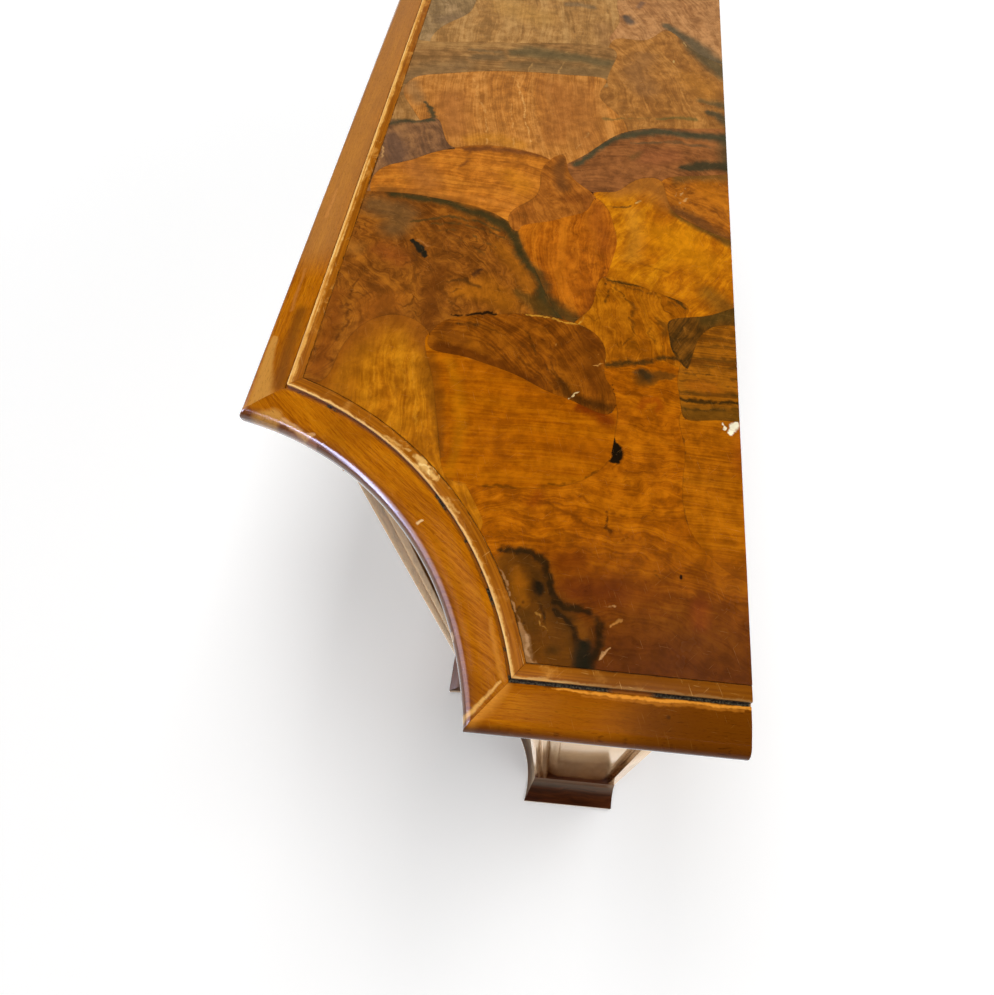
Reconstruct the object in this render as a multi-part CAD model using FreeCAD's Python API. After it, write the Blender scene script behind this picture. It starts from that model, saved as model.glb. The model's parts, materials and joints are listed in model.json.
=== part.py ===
import FreeCAD, Part
import math
import os

# Overall sizes in millimetres. X runs along the table, the back is at +Y and the floor is at Z = 0.
table_length = 1200.0
table_depth = 400.0
table_height = 770.0

# Outline of the top: a straight back, straight ends, a straight front and two hollow corners.
end_length = 187.0
corner_length = 222.0
corner_radius = 270.0

# Layers and moulded edge of the top.
veneer_thickness = 2.0
core_thickness = 20.0
band_width = 11.0
groove_width = 2.0
groove_depth = 1.4
lip_height = 3.5
glue_gap = 0.2
moulding_width = 32.0
moulding_depth = 28.0
moulding_fall = 2.5
moulding_crown = 0.8
moulding_nose = 9.0
moulding_chin = 16.0
mitre_reach = 120.0
mitre_turn = 12.0

# Pedestals, measured at their heads. Their fronts lean in towards the back plane on the way down.
pedestal_end_inset = 60.0
pedestal_front_inset = 84.0
pedestal_width = 240.0
pedestal_end_length = 157.0
pedestal_corner_length = 140.0
pedestal_corner_radius = 165.0
pedestal_lean = 60.0

# Walls of a pedestal: reeded corner posts with panels let in between them.
wall_thickness = 18.0
post_face = 22.0
reed_depth = 2.5
reeds_per_face = 2
panel_recess = 8.0
field_recess = 3.0
panel_rim = 2.0
panel_bevel = 17.0
bevel_limit_share = 0.35
back_stile_width = 14.0
back_panel_thickness = 10.0

# Cap, plinth and floor of a pedestal.
cap_thickness = 20.0
cap_overhang = 2.0
plinth_height = 50.0
plinth_toe_height = 14.0
plinth_projection = 32.0
plinth_hollow_projection = 11.0
base_board_thickness = 18.0

# Rails that tie the two pedestals together under the top.
rail_height = 80.0
rail_thickness = 20.0
rail_setback = 20.0
rail_arch = 32.0
bearer_width = 60.0
bearer_height = 30.0

# Screws from the caps up into the top.
screw_radius = 2.5
screw_bite = 12.0
screw_head_radius = 4.5
screw_head_height = 3.0
screw_inset = 38.0
screw_clearance = 0.15

# Cove of the plinth: share of its height above the toe, then share of its run in to the wall.
cove_shares = [(0.0, 0.0), (0.10, 0.30), (0.26, 0.58), (0.48, 0.80), (0.74, 0.94), (1.0, 1.0)]

# Outlines of the veneer leaves, the one laid last first. Each point is a share of the table's length
# from the right end, then a share of its depth from the back edge.
leaf_shares = [
    # Brown cap and golden body of the oval leaf in the middle of the right half.
    [(0.2150, 0.2575), (0.2333, 0.2662), (0.2433, 0.2812), (0.2550, 0.2825), (0.2675, 0.2850),
     (0.2792, 0.3050), (0.2871, 0.3425), (0.2917, 0.4000), (0.2913, 0.4875), (0.2858, 0.5650),
     (0.2783, 0.6300), (0.2650, 0.6575), (0.2525, 0.6550), (0.2475, 0.6000), (0.2425, 0.5300),
     (0.2342, 0.4550), (0.2242, 0.3950), (0.2167, 0.3300)],
    [(0.1467, 0.5500), (0.1450, 0.4750), (0.1475, 0.4000), (0.1508, 0.3500), (0.1583, 0.3050),
     (0.1725, 0.2650), (0.1917, 0.2537), (0.2183, 0.2525), (0.2500, 0.4250), (0.2600, 0.6650),
     (0.2250, 0.6325), (0.2000, 0.6125), (0.1708, 0.5900)],
    # Dark dart beside the back edge, and the striped leaf that it points at.
    [(0.2583, 0.1050), (0.2750, 0.0925), (0.2875, 0.0800), (0.2958, 0.0625), (0.3017, 0.0300),
     (0.3067, -0.0300), (0.3217, -0.0300), (0.3150, 0.0300), (0.3083, 0.0750), (0.3050, 0.1200),
     (0.3000, 0.1475), (0.2875, 0.1475), (0.2750, 0.1425), (0.2650, 0.1275)],
    [(0.2158, -0.0350), (0.2667, -0.0450), (0.3117, -0.0350), (0.3067, 0.0250), (0.2983, 0.0800),
     (0.2833, 0.1150), (0.2650, 0.1200), (0.2500, 0.1275), (0.2375, 0.1263), (0.2250, 0.1212),
     (0.2158, 0.1163), (0.2154, 0.0400)],
    # Golden leaf crossed by fine cracks.
    [(0.2592, 0.1150), (0.2750, 0.1250), (0.2933, 0.1300), (0.3067, 0.1100), (0.3158, 0.1050),
     (0.3242, 0.1450), (0.3308, 0.2000), (0.3358, 0.2450), (0.3383, 0.2975), (0.3208, 0.3150),
     (0.3033, 0.3250), (0.2833, 0.3600), (0.2667, 0.3000), (0.2525, 0.2900), (0.2558, 0.2250),
     (0.2625, 0.1600)],
    # Round red leaf and the brown shadow along its lower right side.
    [(0.2842, 0.3450), (0.3017, 0.3200), (0.3208, 0.3025), (0.3383, 0.2925), (0.3583, 0.2825),
     (0.3792, 0.2750), (0.4000, 0.2875), (0.4167, 0.3050), (0.4267, 0.3350), (0.4133, 0.3500),
     (0.4017, 0.3950), (0.3925, 0.4450), (0.3817, 0.5075), (0.3667, 0.5000), (0.3500, 0.4750),
     (0.3292, 0.4450), (0.3100, 0.4200), (0.2950, 0.3900)],
    [(0.3783, 0.5100), (0.3883, 0.4450), (0.3983, 0.3950), (0.4133, 0.3400), (0.4275, 0.3350),
     (0.4417, 0.3750), (0.4583, 0.4100), (0.4783, 0.4300), (0.4633, 0.4700), (0.4367, 0.4750),
     (0.4208, 0.4825), (0.4042, 0.5250), (0.3900, 0.5375)],
    # Yellow leaf at the back.
    [(0.3050, 0.1400), (0.2950, 0.0600), (0.3050, -0.0350), (0.3883, -0.0350), (0.3992, 0.0350),
     (0.4083, 0.0900), (0.4192, 0.1350), (0.4417, 0.1600), (0.4600, 0.1800), (0.4517, 0.2500),
     (0.4375, 0.2900), (0.4333, 0.3400), (0.4167, 0.3250), (0.3983, 0.3050), (0.3792, 0.2950),
     (0.3583, 0.3025), (0.3367, 0.3150), (0.3317, 0.2400), (0.3217, 0.1600)],
    # Long golden leaf on the back edge near the right end.
    [(0.0975, -0.0300), (0.1042, 0.0350), (0.1125, 0.0650), (0.1225, 0.0900), (0.1333, 0.1075),
     (0.1475, 0.1163), (0.1667, 0.1163), (0.1917, 0.1138), (0.2183, 0.1200), (0.2267, 0.0500),
     (0.2250, -0.0350), (0.1583, -0.0500)],
    # Golden leaf in the right hollow, then the brown burr beside it.
    [(0.1250, 0.4900), (0.1467, 0.5300), (0.1708, 0.5700), (0.2000, 0.5950), (0.2333, 0.6150),
     (0.2567, 0.6450), (0.2717, 0.6800), (0.2783, 0.7300), (0.2717, 0.7850), (0.2550, 0.8200),
     (0.2333, 0.8350), (0.2142, 0.8475), (0.2033, 0.9000), (0.1417, 0.8750), (0.0917, 0.6500)],
    [(0.1883, 0.9750), (0.2117, 0.8300), (0.2383, 0.8150), (0.2617, 0.7900), (0.2717, 0.7400),
     (0.2650, 0.6750), (0.2550, 0.5750), (0.2800, 0.3500), (0.3100, 0.4000), (0.3417, 0.4400),
     (0.3733, 0.4900), (0.3917, 0.5550), (0.4008, 0.6200), (0.4050, 0.7000), (0.4075, 0.7800),
     (0.4058, 0.8625), (0.3983, 0.9750), (0.2917, 1.0250)],
    # Orange leaf with stripes, and the plum leaf under it.
    [(0.3667, 0.4750), (0.4000, 0.4600), (0.4333, 0.4450), (0.4683, 0.4550), (0.4767, 0.5100),
     (0.4800, 0.5750), (0.4783, 0.6500), (0.4708, 0.7100), (0.4608, 0.7625), (0.4483, 0.8100),
     (0.4367, 0.8650), (0.4167, 0.8850), (0.3983, 0.8650), (0.3917, 0.7000), (0.3800, 0.5750)],
    [(0.4717, 0.7050), (0.4883, 0.7425), (0.5092, 0.7800), (0.5050, 0.8050), (0.5000, 0.8625),
     (0.4983, 0.9800), (0.4500, 1.0100), (0.3917, 0.9800), (0.4017, 0.8600), (0.4333, 0.8550),
     (0.4467, 0.7950), (0.4583, 0.7450)],
    # Brown leaf with a dark knot on the back edge, then the red leaf with its black streak.
    [(0.3767, -0.0350), (0.4250, -0.0500), (0.4767, -0.0350), (0.4725, 0.0500), (0.4683, 0.1100),
     (0.4608, 0.1650), (0.4400, 0.1800), (0.4150, 0.1550), (0.3983, 0.0900), (0.3867, 0.0300)],
    [(0.4667, -0.0350), (0.5000, -0.0500), (0.5350, -0.0350), (0.5342, 0.1125), (0.5283, 0.2125),
     (0.5150, 0.2900), (0.4933, 0.3450), (0.4717, 0.4000), (0.4567, 0.4350), (0.4383, 0.3900),
     (0.4267, 0.3250), (0.4450, 0.2600), (0.4550, 0.1800), (0.4617, 0.1100)],
    # Light curly leaf, then the leaf with broad green stripes.
    [(0.4533, 0.4550), (0.4683, 0.3400), (0.4983, 0.2700), (0.5417, 0.2900), (0.5750, 0.3500),
     (0.5950, 0.3350), (0.5975, 0.4250), (0.5958, 0.5125), (0.5925, 0.6000), (0.5858, 0.7000),
     (0.5758, 0.7950), (0.5642, 0.8650), (0.5433, 0.8800), (0.5233, 0.8500), (0.5000, 0.8050),
     (0.4833, 0.7650), (0.4633, 0.7300), (0.4717, 0.6550), (0.4750, 0.5800)],
    [(0.5883, 0.3300), (0.6167, 0.3237), (0.6475, 0.3200), (0.6525, 0.4000), (0.6475, 0.5000),
     (0.6408, 0.6000), (0.6342, 0.7250), (0.6267, 0.8500), (0.6200, 0.9800), (0.5417, 1.0000),
     (0.5333, 0.9000), (0.5567, 0.8250), (0.5767, 0.7500), (0.5833, 0.6000), (0.5883, 0.4750)],
    # Light leaves towards the left end.
    [(0.5133, -0.0350), (0.5833, -0.0500), (0.6350, -0.0350), (0.6583, 0.0700), (0.6933, 0.1750),
     (0.6717, 0.2300), (0.6683, 0.3150), (0.6467, 0.3400), (0.6167, 0.3500), (0.5883, 0.3700),
     (0.5533, 0.3550), (0.5217, 0.3350), (0.5000, 0.2900), (0.5150, 0.1750)],
    [(0.6200, -0.0350), (0.7000, -0.0500), (0.7767, -0.0350), (0.7833, 0.1250), (0.7750, 0.2700),
     (0.7350, 0.3250), (0.6933, 0.3150), (0.6617, 0.3350), (0.6617, 0.2250), (0.6800, 0.1800),
     (0.6517, 0.0850)],
    [(0.6400, 0.3000), (0.6667, 0.2950), (0.6933, 0.2950), (0.7350, 0.3050), (0.7867, 0.2500),
     (0.7800, 0.5000), (0.7533, 0.6800), (0.7183, 0.7500), (0.6850, 0.7650), (0.6550, 0.8300),
     (0.6200, 0.8450), (0.6267, 0.7125), (0.6333, 0.6000), (0.6400, 0.5000)],
    [(0.4883, 1.0500), (0.4950, 0.7800), (0.5417, 0.8250), (0.6000, 0.8250), (0.6533, 0.8000),
     (0.6850, 0.7450), (0.7200, 0.7300), (0.7567, 0.6700), (0.7733, 0.8250), (0.7633, 1.0500)],
    # Leaves round the left hollow.
    [(0.7300, -0.0900), (0.8167, -0.1100), (0.9050, -0.0750), (0.9183, 0.1050), (0.8817, 0.2800),
     (0.8017, 0.3500), (0.7383, 0.2400)],
    [(0.7000, 0.6400), (0.7700, 0.5600), (0.8300, 0.5600), (0.8800, 0.6600), (0.8200, 0.9600),
     (0.7200, 1.0600)],
    [(0.7500, 0.2400), (0.8300, 0.2400), (0.9000, 0.2700), (0.9200, 0.4600), (0.8800, 0.6400),
     (0.7600, 0.6400)],
]

# Places and levels that follow from the sizes.
V = FreeCAD.Vector
UP = V(0, 0, 1)
half_length = table_length / 2
back_y = table_depth / 2
front_y = -table_depth / 2
core_top = table_height - veneer_thickness
core_bottom = core_top - core_thickness
moulding_top = table_height - lip_height
moulding_bottom = moulding_top - moulding_depth
groove_floor = moulding_top - groove_depth
band_outer = moulding_width + groove_width
band_inner = band_outer + band_width
head_z = core_bottom - cap_thickness
pedestal_end_x = half_length - pedestal_end_inset
pedestal_inner_x = pedestal_end_x - pedestal_width
pedestal_front_y = front_y + pedestal_front_inset
head_depth = table_depth - pedestal_front_inset
foot_share = (head_depth - pedestal_lean) / head_depth


def circle_at_x(centre, radius, x):
    """Upper point of a plan circle at a given X."""
    return (x, centre[1] + math.sqrt(radius ** 2 - (x - centre[0]) ** 2))


def circle_at_y(centre, radius, y):
    """Left point of a plan circle at a given Y."""
    return (centre[0] - math.sqrt(radius ** 2 - (y - centre[1]) ** 2), y)


def angle_about(centre, point):
    return math.atan2(point[1] - centre[1], point[0] - centre[0]) % (2 * math.pi)


def polar(centre, radius, angle):
    return (centre[0] + radius * math.cos(angle), centre[1] + radius * math.sin(angle))


def between(start, end, share):
    """Plan point part of the way from one point to another."""
    return (start[0] + (end[0] - start[0]) * share, start[1] + (end[1] - start[1]) * share)


def flip(point):
    """The same plan point on the left half."""
    return (-point[0], point[1])


class HollowOutline:
    """Right half of a plan outline with a straight end, a hollow corner and a straight front."""

    def __init__(self, end_x, end_y, front_x, front_y, radius):
        self.end_x = end_x
        self.front_y = front_y
        self.radius = radius
        run_x = end_x - front_x
        run_y = end_y - front_y
        chord = math.hypot(run_x, run_y)
        reach = math.sqrt(radius ** 2 - (chord / 2) ** 2)
        middle = between((end_x, end_y), (front_x, front_y), 0.5)
        self.centre = (middle[0] + reach * run_y / chord, middle[1] - reach * run_x / chord)

    def end_corner(self, inset):
        return circle_at_x(self.centre, self.radius + inset, self.end_x - inset)

    def front_corner(self, inset):
        return circle_at_y(self.centre, self.radius + inset, self.front_y + inset)

    def end_angle(self, inset):
        return angle_about(self.centre, self.end_corner(inset))

    def front_angle(self, inset):
        return angle_about(self.centre, self.front_corner(inset))

    def at_angle(self, inset, angle):
        return polar(self.centre, self.radius + inset, angle)

    def middle(self, inset):
        return self.at_angle(inset, (self.end_angle(inset) + self.front_angle(inset)) / 2)


top = HollowOutline(half_length, back_y - end_length, half_length - corner_length, front_y, corner_radius)
head = HollowOutline(
    pedestal_end_x,
    back_y - pedestal_end_length,
    pedestal_end_x - pedestal_corner_length,
    pedestal_front_y,
    pedestal_corner_radius,
)


def flat(z):
    """Places plan points at one level."""
    return lambda x, y: V(x, y, z)


def tapered(z):
    """Places plan points of a pedestal's head at a lower level, drawn in towards the back plane."""
    rise_share = (z - plinth_height) / (head_z - plinth_height)
    depth_share = foot_share + (1 - foot_share) * rise_share
    return lambda x, y: V(x, back_y - (back_y - y) * depth_share, z)


def closed_wire(stops, place):
    """Closed wire through stops of (point, middle). A middle bends the next edge into an arc."""
    edges = []
    for index, (point, middle) in enumerate(stops):
        start = place(*point)
        end = place(*stops[(index + 1) % len(stops)][0])
        if middle is None:
            edges.append(Part.LineSegment(start, end).toShape())
        else:
            edges.append(Part.Arc(start, place(*middle), end).toShape())
    return Part.Wire(edges)


def straight(*points):
    """Stops with straight edges between them."""
    return [(point, None) for point in points]


def prism(stops, low, high):
    return Part.Face(closed_wire(stops, flat(low))).extrude(UP * (high - low))


def loft(wires):
    return Part.makeLoft(wires, True, True)


def wall(stops):
    """A wall piece of a pedestal, from the plinth up to the cap."""
    return loft([closed_wire(stops, tapered(plinth_height)), closed_wire(stops, tapered(head_z))])


def save(name, shape):
    shape.exportStep(os.path.join("parts", name + ".step"))


def save_pair(name, shape):
    """Saves a right-hand piece and its mirror image on the left."""
    save("right_" + name, shape)
    save("left_" + name, shape.mirror(V(0, 0, 0), V(1, 0, 0)))


def top_stops(inset):
    """Outline of the whole top, drawn in from its moulded edges. The back edge stays where it is."""
    end = top.end_corner(inset)
    middle = top.middle(inset)
    front = top.front_corner(inset)
    return [
        ((half_length - inset, back_y), None),
        (end, middle),
        (front, None),
        (flip(front), flip(middle)),
        (flip(end), None),
        ((inset - half_length, back_y), None),
    ]


def screw_places():
    """Plan points of the screws in the right cap, inside the pedestal's walls."""
    inner = pedestal_inner_x + screw_inset
    outer = pedestal_end_x - screw_inset
    back = back_y - screw_inset
    front = pedestal_front_y + screw_inset
    return [(inner, back), (outer, back), (inner, front)]


def screw_holes():
    """Clearance for the screws on both sides of the table."""
    holes = []
    for point in screw_places():
        for x, y in (point, flip(point)):
            hole_length = cap_thickness + screw_bite
            holes.append(Part.makeCylinder(screw_radius + screw_clearance, hole_length, V(x, y, head_z)))
    return holes


def make_core():
    lower = prism(top_stops(moulding_width + glue_gap), core_bottom, groove_floor)
    upper = prism(top_stops(band_outer), groove_floor, core_top)
    return lower.fuse(upper).removeSplitter().cut(screw_holes())


def make_leaves():
    """Veneer leaves: each one takes what the leaves before it have left of the field."""
    field = [Part.Face(closed_wire(top_stops(band_inner + glue_gap), flat(core_top)))]
    leaves = []
    for outline in leaf_shares:
        curve = Part.BSplineCurve()
        points = [V(half_length - a * table_length, back_y - b * table_depth, core_top) for a, b in outline]
        curve.interpolate(points, PeriodicFlag=True)
        patch = Part.Face(Part.Wire(curve.toShape()))
        leaves.extend(face for piece in field for face in piece.common(patch).Faces)
        field = [face for piece in field for face in piece.cut(patch).Faces]
    leaves.extend(field)
    return Part.makeCompound([leaf.extrude(UP * veneer_thickness) for leaf in leaves])


def save_bands():
    """Narrow bands round the veneer field, mitred where they meet."""
    outer_end = top.end_corner(band_outer)
    inner_end = top.end_corner(band_inner)
    outer_front = top.front_corner(band_outer)
    inner_front = top.front_corner(band_inner)
    front = straight(outer_front, inner_front, flip(inner_front), flip(outer_front))
    end = straight(
        (half_length - band_outer, back_y), outer_end, inner_end, (half_length - band_inner, back_y)
    )
    corner = [
        (outer_end, top.middle(band_outer)),
        (outer_front, None),
        (inner_front, top.middle(band_inner)),
        (inner_end, None),
    ]
    save("front_band", prism(front, core_top, table_height))
    save_pair("end_band", prism(end, core_top, table_height))
    save_pair("corner_band", prism(corner, core_top, table_height))


def moulding_section(place):
    """Section of the edge moulding. place turns a distance in from the edge and a height into a point."""
    shoulder = moulding_top - moulding_fall
    nose_share = 1 - math.sqrt(0.5)
    crown_z = (moulding_top + shoulder) / 2 + moulding_crown
    nose_middle = (moulding_nose * nose_share, shoulder - moulding_nose * nose_share)
    chin_middle = (moulding_chin * nose_share, moulding_bottom + moulding_chin * nose_share)
    stops = [
        ((moulding_width, moulding_bottom), None),
        ((moulding_width, moulding_top), ((moulding_width + moulding_nose) / 2, crown_z)),
        ((moulding_nose, shoulder), nose_middle),
        ((0, shoulder - moulding_nose), None),
        ((0, moulding_bottom + moulding_chin), chin_middle),
        ((moulding_chin, moulding_bottom), None),
    ]
    return closed_wire(stops, place)


def across(outer, inner):
    """Places a moulding section in the upright plane from an outer plan point to an inner one."""
    def place(inset, z):
        x, y = between(outer, inner, inset / moulding_width)
        return V(x, y, z)
    return place


def save_mouldings():
    """Edge moulding in five lengths, mitred at the ends of the hollow corners."""
    outer_end = top.end_corner(0)
    inner_end = top.end_corner(moulding_width)
    outer_front = top.front_corner(0)
    inner_front = top.front_corner(moulding_width)

    front = loft([
        moulding_section(across(outer_front, inner_front)),
        moulding_section(across(flip(outer_front), flip(inner_front))),
    ])
    save("front_moulding", front)

    back_cut = across((half_length, back_y), (half_length - moulding_width, back_y))
    end = loft([moulding_section(back_cut), moulding_section(across(outer_end, inner_end))])
    save_pair("end_moulding", end)

    start_angle = top.end_angle(0) - math.radians(mitre_turn)
    sweep = math.degrees(top.front_angle(0) - top.end_angle(0)) + 2 * mitre_turn

    def on_radius(inset, z):
        x, y = top.at_angle(inset, start_angle)
        return V(x, y, z)

    ring = Part.Face(moulding_section(on_radius)).revolve(V(*top.centre, 0), UP, sweep)
    reach_share = mitre_reach / moulding_width
    zone = straight(
        between(outer_end, inner_end, -reach_share),
        between(outer_end, inner_end, reach_share),
        between(outer_front, inner_front, reach_share),
        between(outer_front, inner_front, -reach_share),
    )
    save_pair("corner_moulding", ring.common(prism(zone, moulding_bottom, moulding_top + moulding_crown)))


def straight_reeds(start, end, crest):
    """Stops of half-round reeds along a straight face. crest is the step out to the top of a reed."""
    stops = []
    for reed in range(reeds_per_face):
        hollow = between(start, end, reed / reeds_per_face)
        middle = between(start, end, (reed + 0.5) / reeds_per_face)
        stops.append((hollow, (middle[0] + crest[0], middle[1] + crest[1])))
    return stops


def hollow_reeds(start_angle, end_angle):
    """Stops of reeds along the hollow corner of a pedestal."""
    step = (end_angle - start_angle) / reeds_per_face
    stops = []
    for reed in range(reeds_per_face):
        angle = start_angle + reed * step
        stops.append((head.at_angle(reed_depth, angle), head.at_angle(0, angle + step / 2)))
    return stops


def raised_field(corner_at, low_edge, high_edge, slab_level, field_level):
    """Bevelled field of a panel. corner_at turns a place across it, a level and a height into a point."""
    wires = []
    bevel = min(panel_bevel, (high_edge - low_edge) * bevel_limit_share)
    for level, margin in ((slab_level, panel_rim), (field_level, bevel)):
        corners = [
            corner_at(low_edge + margin, level, plinth_height + margin),
            corner_at(high_edge - margin, level, plinth_height + margin),
            corner_at(high_edge - margin, level, head_z - margin),
            corner_at(low_edge + margin, level, head_z - margin),
        ]
        wires.append(Part.makePolygon(corners + corners[:1]))
    return loft(wires)


def save_walls():
    """Walls of a pedestal: three reeded posts, a back stile and five panels."""
    post_turn = post_face / pedestal_corner_radius
    end_angle = head.end_angle(reed_depth)
    front_angle = head.front_angle(reed_depth)
    panel_start = end_angle + post_turn
    panel_end = front_angle - post_turn

    end_edge = head.end_corner(reed_depth)
    end_panel_y = end_edge[1] + post_face
    end_inner_x = pedestal_end_x - wall_thickness
    end_start = (pedestal_end_x - reed_depth, end_panel_y)
    end_post = straight_reeds(end_start, end_edge, (reed_depth, 0))
    end_post += hollow_reeds(end_angle, panel_start)
    end_post += straight(
        head.at_angle(reed_depth, panel_start),
        head.at_angle(wall_thickness, panel_start),
        (end_inner_x, end_panel_y),
    )
    save_pair("end_post", wall(end_post))

    front_edge = head.front_corner(reed_depth)
    front_panel_x = front_edge[0] - post_face
    front_inner_y = pedestal_front_y + wall_thickness
    front_post_end = (front_panel_x, pedestal_front_y + reed_depth)
    front_post = hollow_reeds(panel_end, front_angle)
    front_post += straight_reeds(front_edge, front_post_end, (0, -reed_depth))
    front_post += straight(
        front_post_end,
        (front_panel_x, front_inner_y),
        head.at_angle(wall_thickness, panel_end),
    )
    save_pair("front_post", wall(front_post))

    panel_middle = (panel_start + panel_end) / 2
    hollow_panel = [
        (head.at_angle(panel_recess, panel_start), head.at_angle(panel_recess, panel_middle)),
        (head.at_angle(panel_recess, panel_end), None),
        (head.at_angle(wall_thickness, panel_end), head.at_angle(wall_thickness, panel_middle)),
        (head.at_angle(wall_thickness, panel_start), None),
    ]
    save_pair("hollow_panel", wall(hollow_panel))

    inner_panel_x = pedestal_inner_x + post_face
    inner_panel_y = pedestal_front_y + post_face
    inner_wall_x = pedestal_inner_x + wall_thickness
    inner_start = (inner_panel_x, pedestal_front_y + reed_depth)
    inner_end = (pedestal_inner_x, pedestal_front_y + reed_depth)
    inner_post = straight_reeds(inner_start, inner_end, (0, -reed_depth))
    inner_post += straight(
        inner_end,
        (pedestal_inner_x, inner_panel_y),
        (inner_wall_x, inner_panel_y),
        (inner_panel_x, front_inner_y),
    )
    save_pair("inner_post", wall(inner_post))

    stile_y = back_y - back_stile_width
    save_pair("back_stile", wall(straight(
        (end_inner_x, stile_y), (pedestal_end_x, stile_y), (pedestal_end_x, back_y), (end_inner_x, back_y)
    )))

    end_slab_x = pedestal_end_x - panel_recess
    end_slab = wall(straight(
        (end_inner_x, end_panel_y), (end_slab_x, end_panel_y), (end_slab_x, stile_y), (end_inner_x, stile_y)
    ))
    end_field = raised_field(
        lambda place, level, z: tapered(z)(level, place),
        end_panel_y, stile_y, end_slab_x, pedestal_end_x - field_recess,
    )
    save_pair("end_panel", end_slab.fuse(end_field).removeSplitter())

    front_slab_y = pedestal_front_y + panel_recess
    front_slab = wall(straight(
        (inner_panel_x, front_slab_y), (front_panel_x, front_slab_y),
        (front_panel_x, front_inner_y), (inner_panel_x, front_inner_y),
    ))
    front_field = raised_field(
        lambda place, level, z: tapered(z)(place, level),
        inner_panel_x, front_panel_x, front_slab_y, pedestal_front_y + field_recess,
    )
    save_pair("front_panel", front_slab.fuse(front_field).removeSplitter())

    save_pair("inner_panel", wall(straight(
        (pedestal_inner_x, inner_panel_y), (inner_wall_x, inner_panel_y),
        (inner_wall_x, back_y), (pedestal_inner_x, back_y),
    )))

    back_panel_y = back_y - back_panel_thickness
    save_pair("back_panel", wall(straight(
        (inner_wall_x, back_panel_y), (end_inner_x, back_panel_y),
        (end_inner_x, back_y), (inner_wall_x, back_y),
    )))


def save_plinth():
    """Coved plinth of a pedestal in four mitred lengths, with a back rail and a base board inside."""
    foot = tapered(plinth_height)
    wall_end = foot(*head.end_corner(0))
    wall_middle = foot(*head.middle(0))
    wall_front = foot(*head.front_corner(0))
    foot_arc = Part.Arc(wall_end, wall_middle, wall_front).toShape().Curve
    centre = (foot_arc.Center.x, foot_arc.Center.y)
    middle_angle = angle_about(centre, (wall_middle.x, wall_middle.y))
    foot_front_y = wall_front.y

    toe_radius = foot_arc.Radius - plinth_hollow_projection
    toe_end = circle_at_x(centre, toe_radius, pedestal_end_x + plinth_projection)
    toe_front = circle_at_y(centre, toe_radius, foot_front_y - plinth_projection)
    toe_middle = polar(centre, toe_radius, middle_angle)
    toe_inner = (pedestal_inner_x - plinth_projection, foot_front_y - plinth_projection)

    back_radius = foot_arc.Radius + wall_thickness
    rear_end_x = pedestal_end_x - wall_thickness
    rear_inner_x = pedestal_inner_x + wall_thickness
    rear_end = circle_at_x(centre, back_radius, rear_end_x)
    rear_front = circle_at_y(centre, back_radius, foot_front_y + wall_thickness)
    rear_middle = polar(centre, back_radius, middle_angle)
    rear_inner = (rear_inner_x, foot_front_y + wall_thickness)

    def outer(run_share):
        """Outer corners of the plinth where its cove has run that share of the way in to the wall."""
        return {
            "back_end": (pedestal_end_x + plinth_projection * (1 - run_share), back_y),
            "end": between(toe_end, (wall_end.x, wall_end.y), run_share),
            "middle": between(toe_middle, (wall_middle.x, wall_middle.y), run_share),
            "front": between(toe_front, (wall_front.x, wall_front.y), run_share),
            "inner": between(toe_inner, (pedestal_inner_x, foot_front_y), run_share),
            "back_inner": (pedestal_inner_x - plinth_projection * (1 - run_share), back_y),
        }

    def stops_of(length, run_share):
        at = outer(run_share)
        if length == "plinth_end":
            return straight(at["back_end"], at["end"], rear_end, (rear_end_x, back_y))
        if length == "plinth_hollow":
            outer_stops = [(at["end"], at["middle"]), (at["front"], None)]
            return outer_stops + [(rear_front, rear_middle), (rear_end, None)]
        if length == "plinth_front":
            return straight(at["front"], at["inner"], rear_inner, rear_front)
        return straight(at["inner"], at["back_inner"], (rear_inner_x, back_y), rear_inner)

    cove_height = plinth_height - plinth_toe_height
    for length in ("plinth_end", "plinth_hollow", "plinth_front", "plinth_inner"):
        wires = [closed_wire(stops_of(length, 0), flat(0))]
        for height_share, run_share in cove_shares:
            level = plinth_toe_height + cove_height * height_share
            wires.append(closed_wire(stops_of(length, run_share), flat(level)))
        save_pair(length, loft(wires))

    rail_y = back_y - wall_thickness
    save_pair("plinth_back", prism(straight(
        (rear_inner_x, rail_y), (rear_end_x, rail_y), (rear_end_x, back_y), (rear_inner_x, back_y)
    ), 0, plinth_height))

    board_radius = back_radius + glue_gap
    board_end_x = rear_end_x - glue_gap
    board_inner_x = rear_inner_x + glue_gap
    board_front_y = foot_front_y + wall_thickness + glue_gap
    base_board = [
        ((board_end_x, rail_y - glue_gap), None),
        (circle_at_x(centre, board_radius, board_end_x), polar(centre, board_radius, middle_angle)),
        (circle_at_y(centre, board_radius, board_front_y), None),
        ((board_inner_x, board_front_y), None),
        ((board_inner_x, rail_y - glue_gap), None),
    ]
    save_pair("base_board", prism(base_board, plinth_height - base_board_thickness, plinth_height))


def make_cap():
    """Board on top of a pedestal's walls, screwed to the top and rebated under the edge moulding."""
    outline = [
        ((pedestal_end_x + cap_overhang, back_y), None),
        (head.end_corner(-cap_overhang), head.middle(-cap_overhang)),
        (head.front_corner(-cap_overhang), None),
        ((pedestal_inner_x, pedestal_front_y - cap_overhang), None),
        ((pedestal_inner_x, back_y), None),
    ]
    board = prism(outline, head_z, core_bottom)
    within_moulding = prism(top_stops(moulding_width + glue_gap), moulding_bottom, core_bottom)
    rebate = prism(outline, moulding_bottom, core_bottom).cut(within_moulding)
    return board.cut([rebate] + screw_holes())


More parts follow.
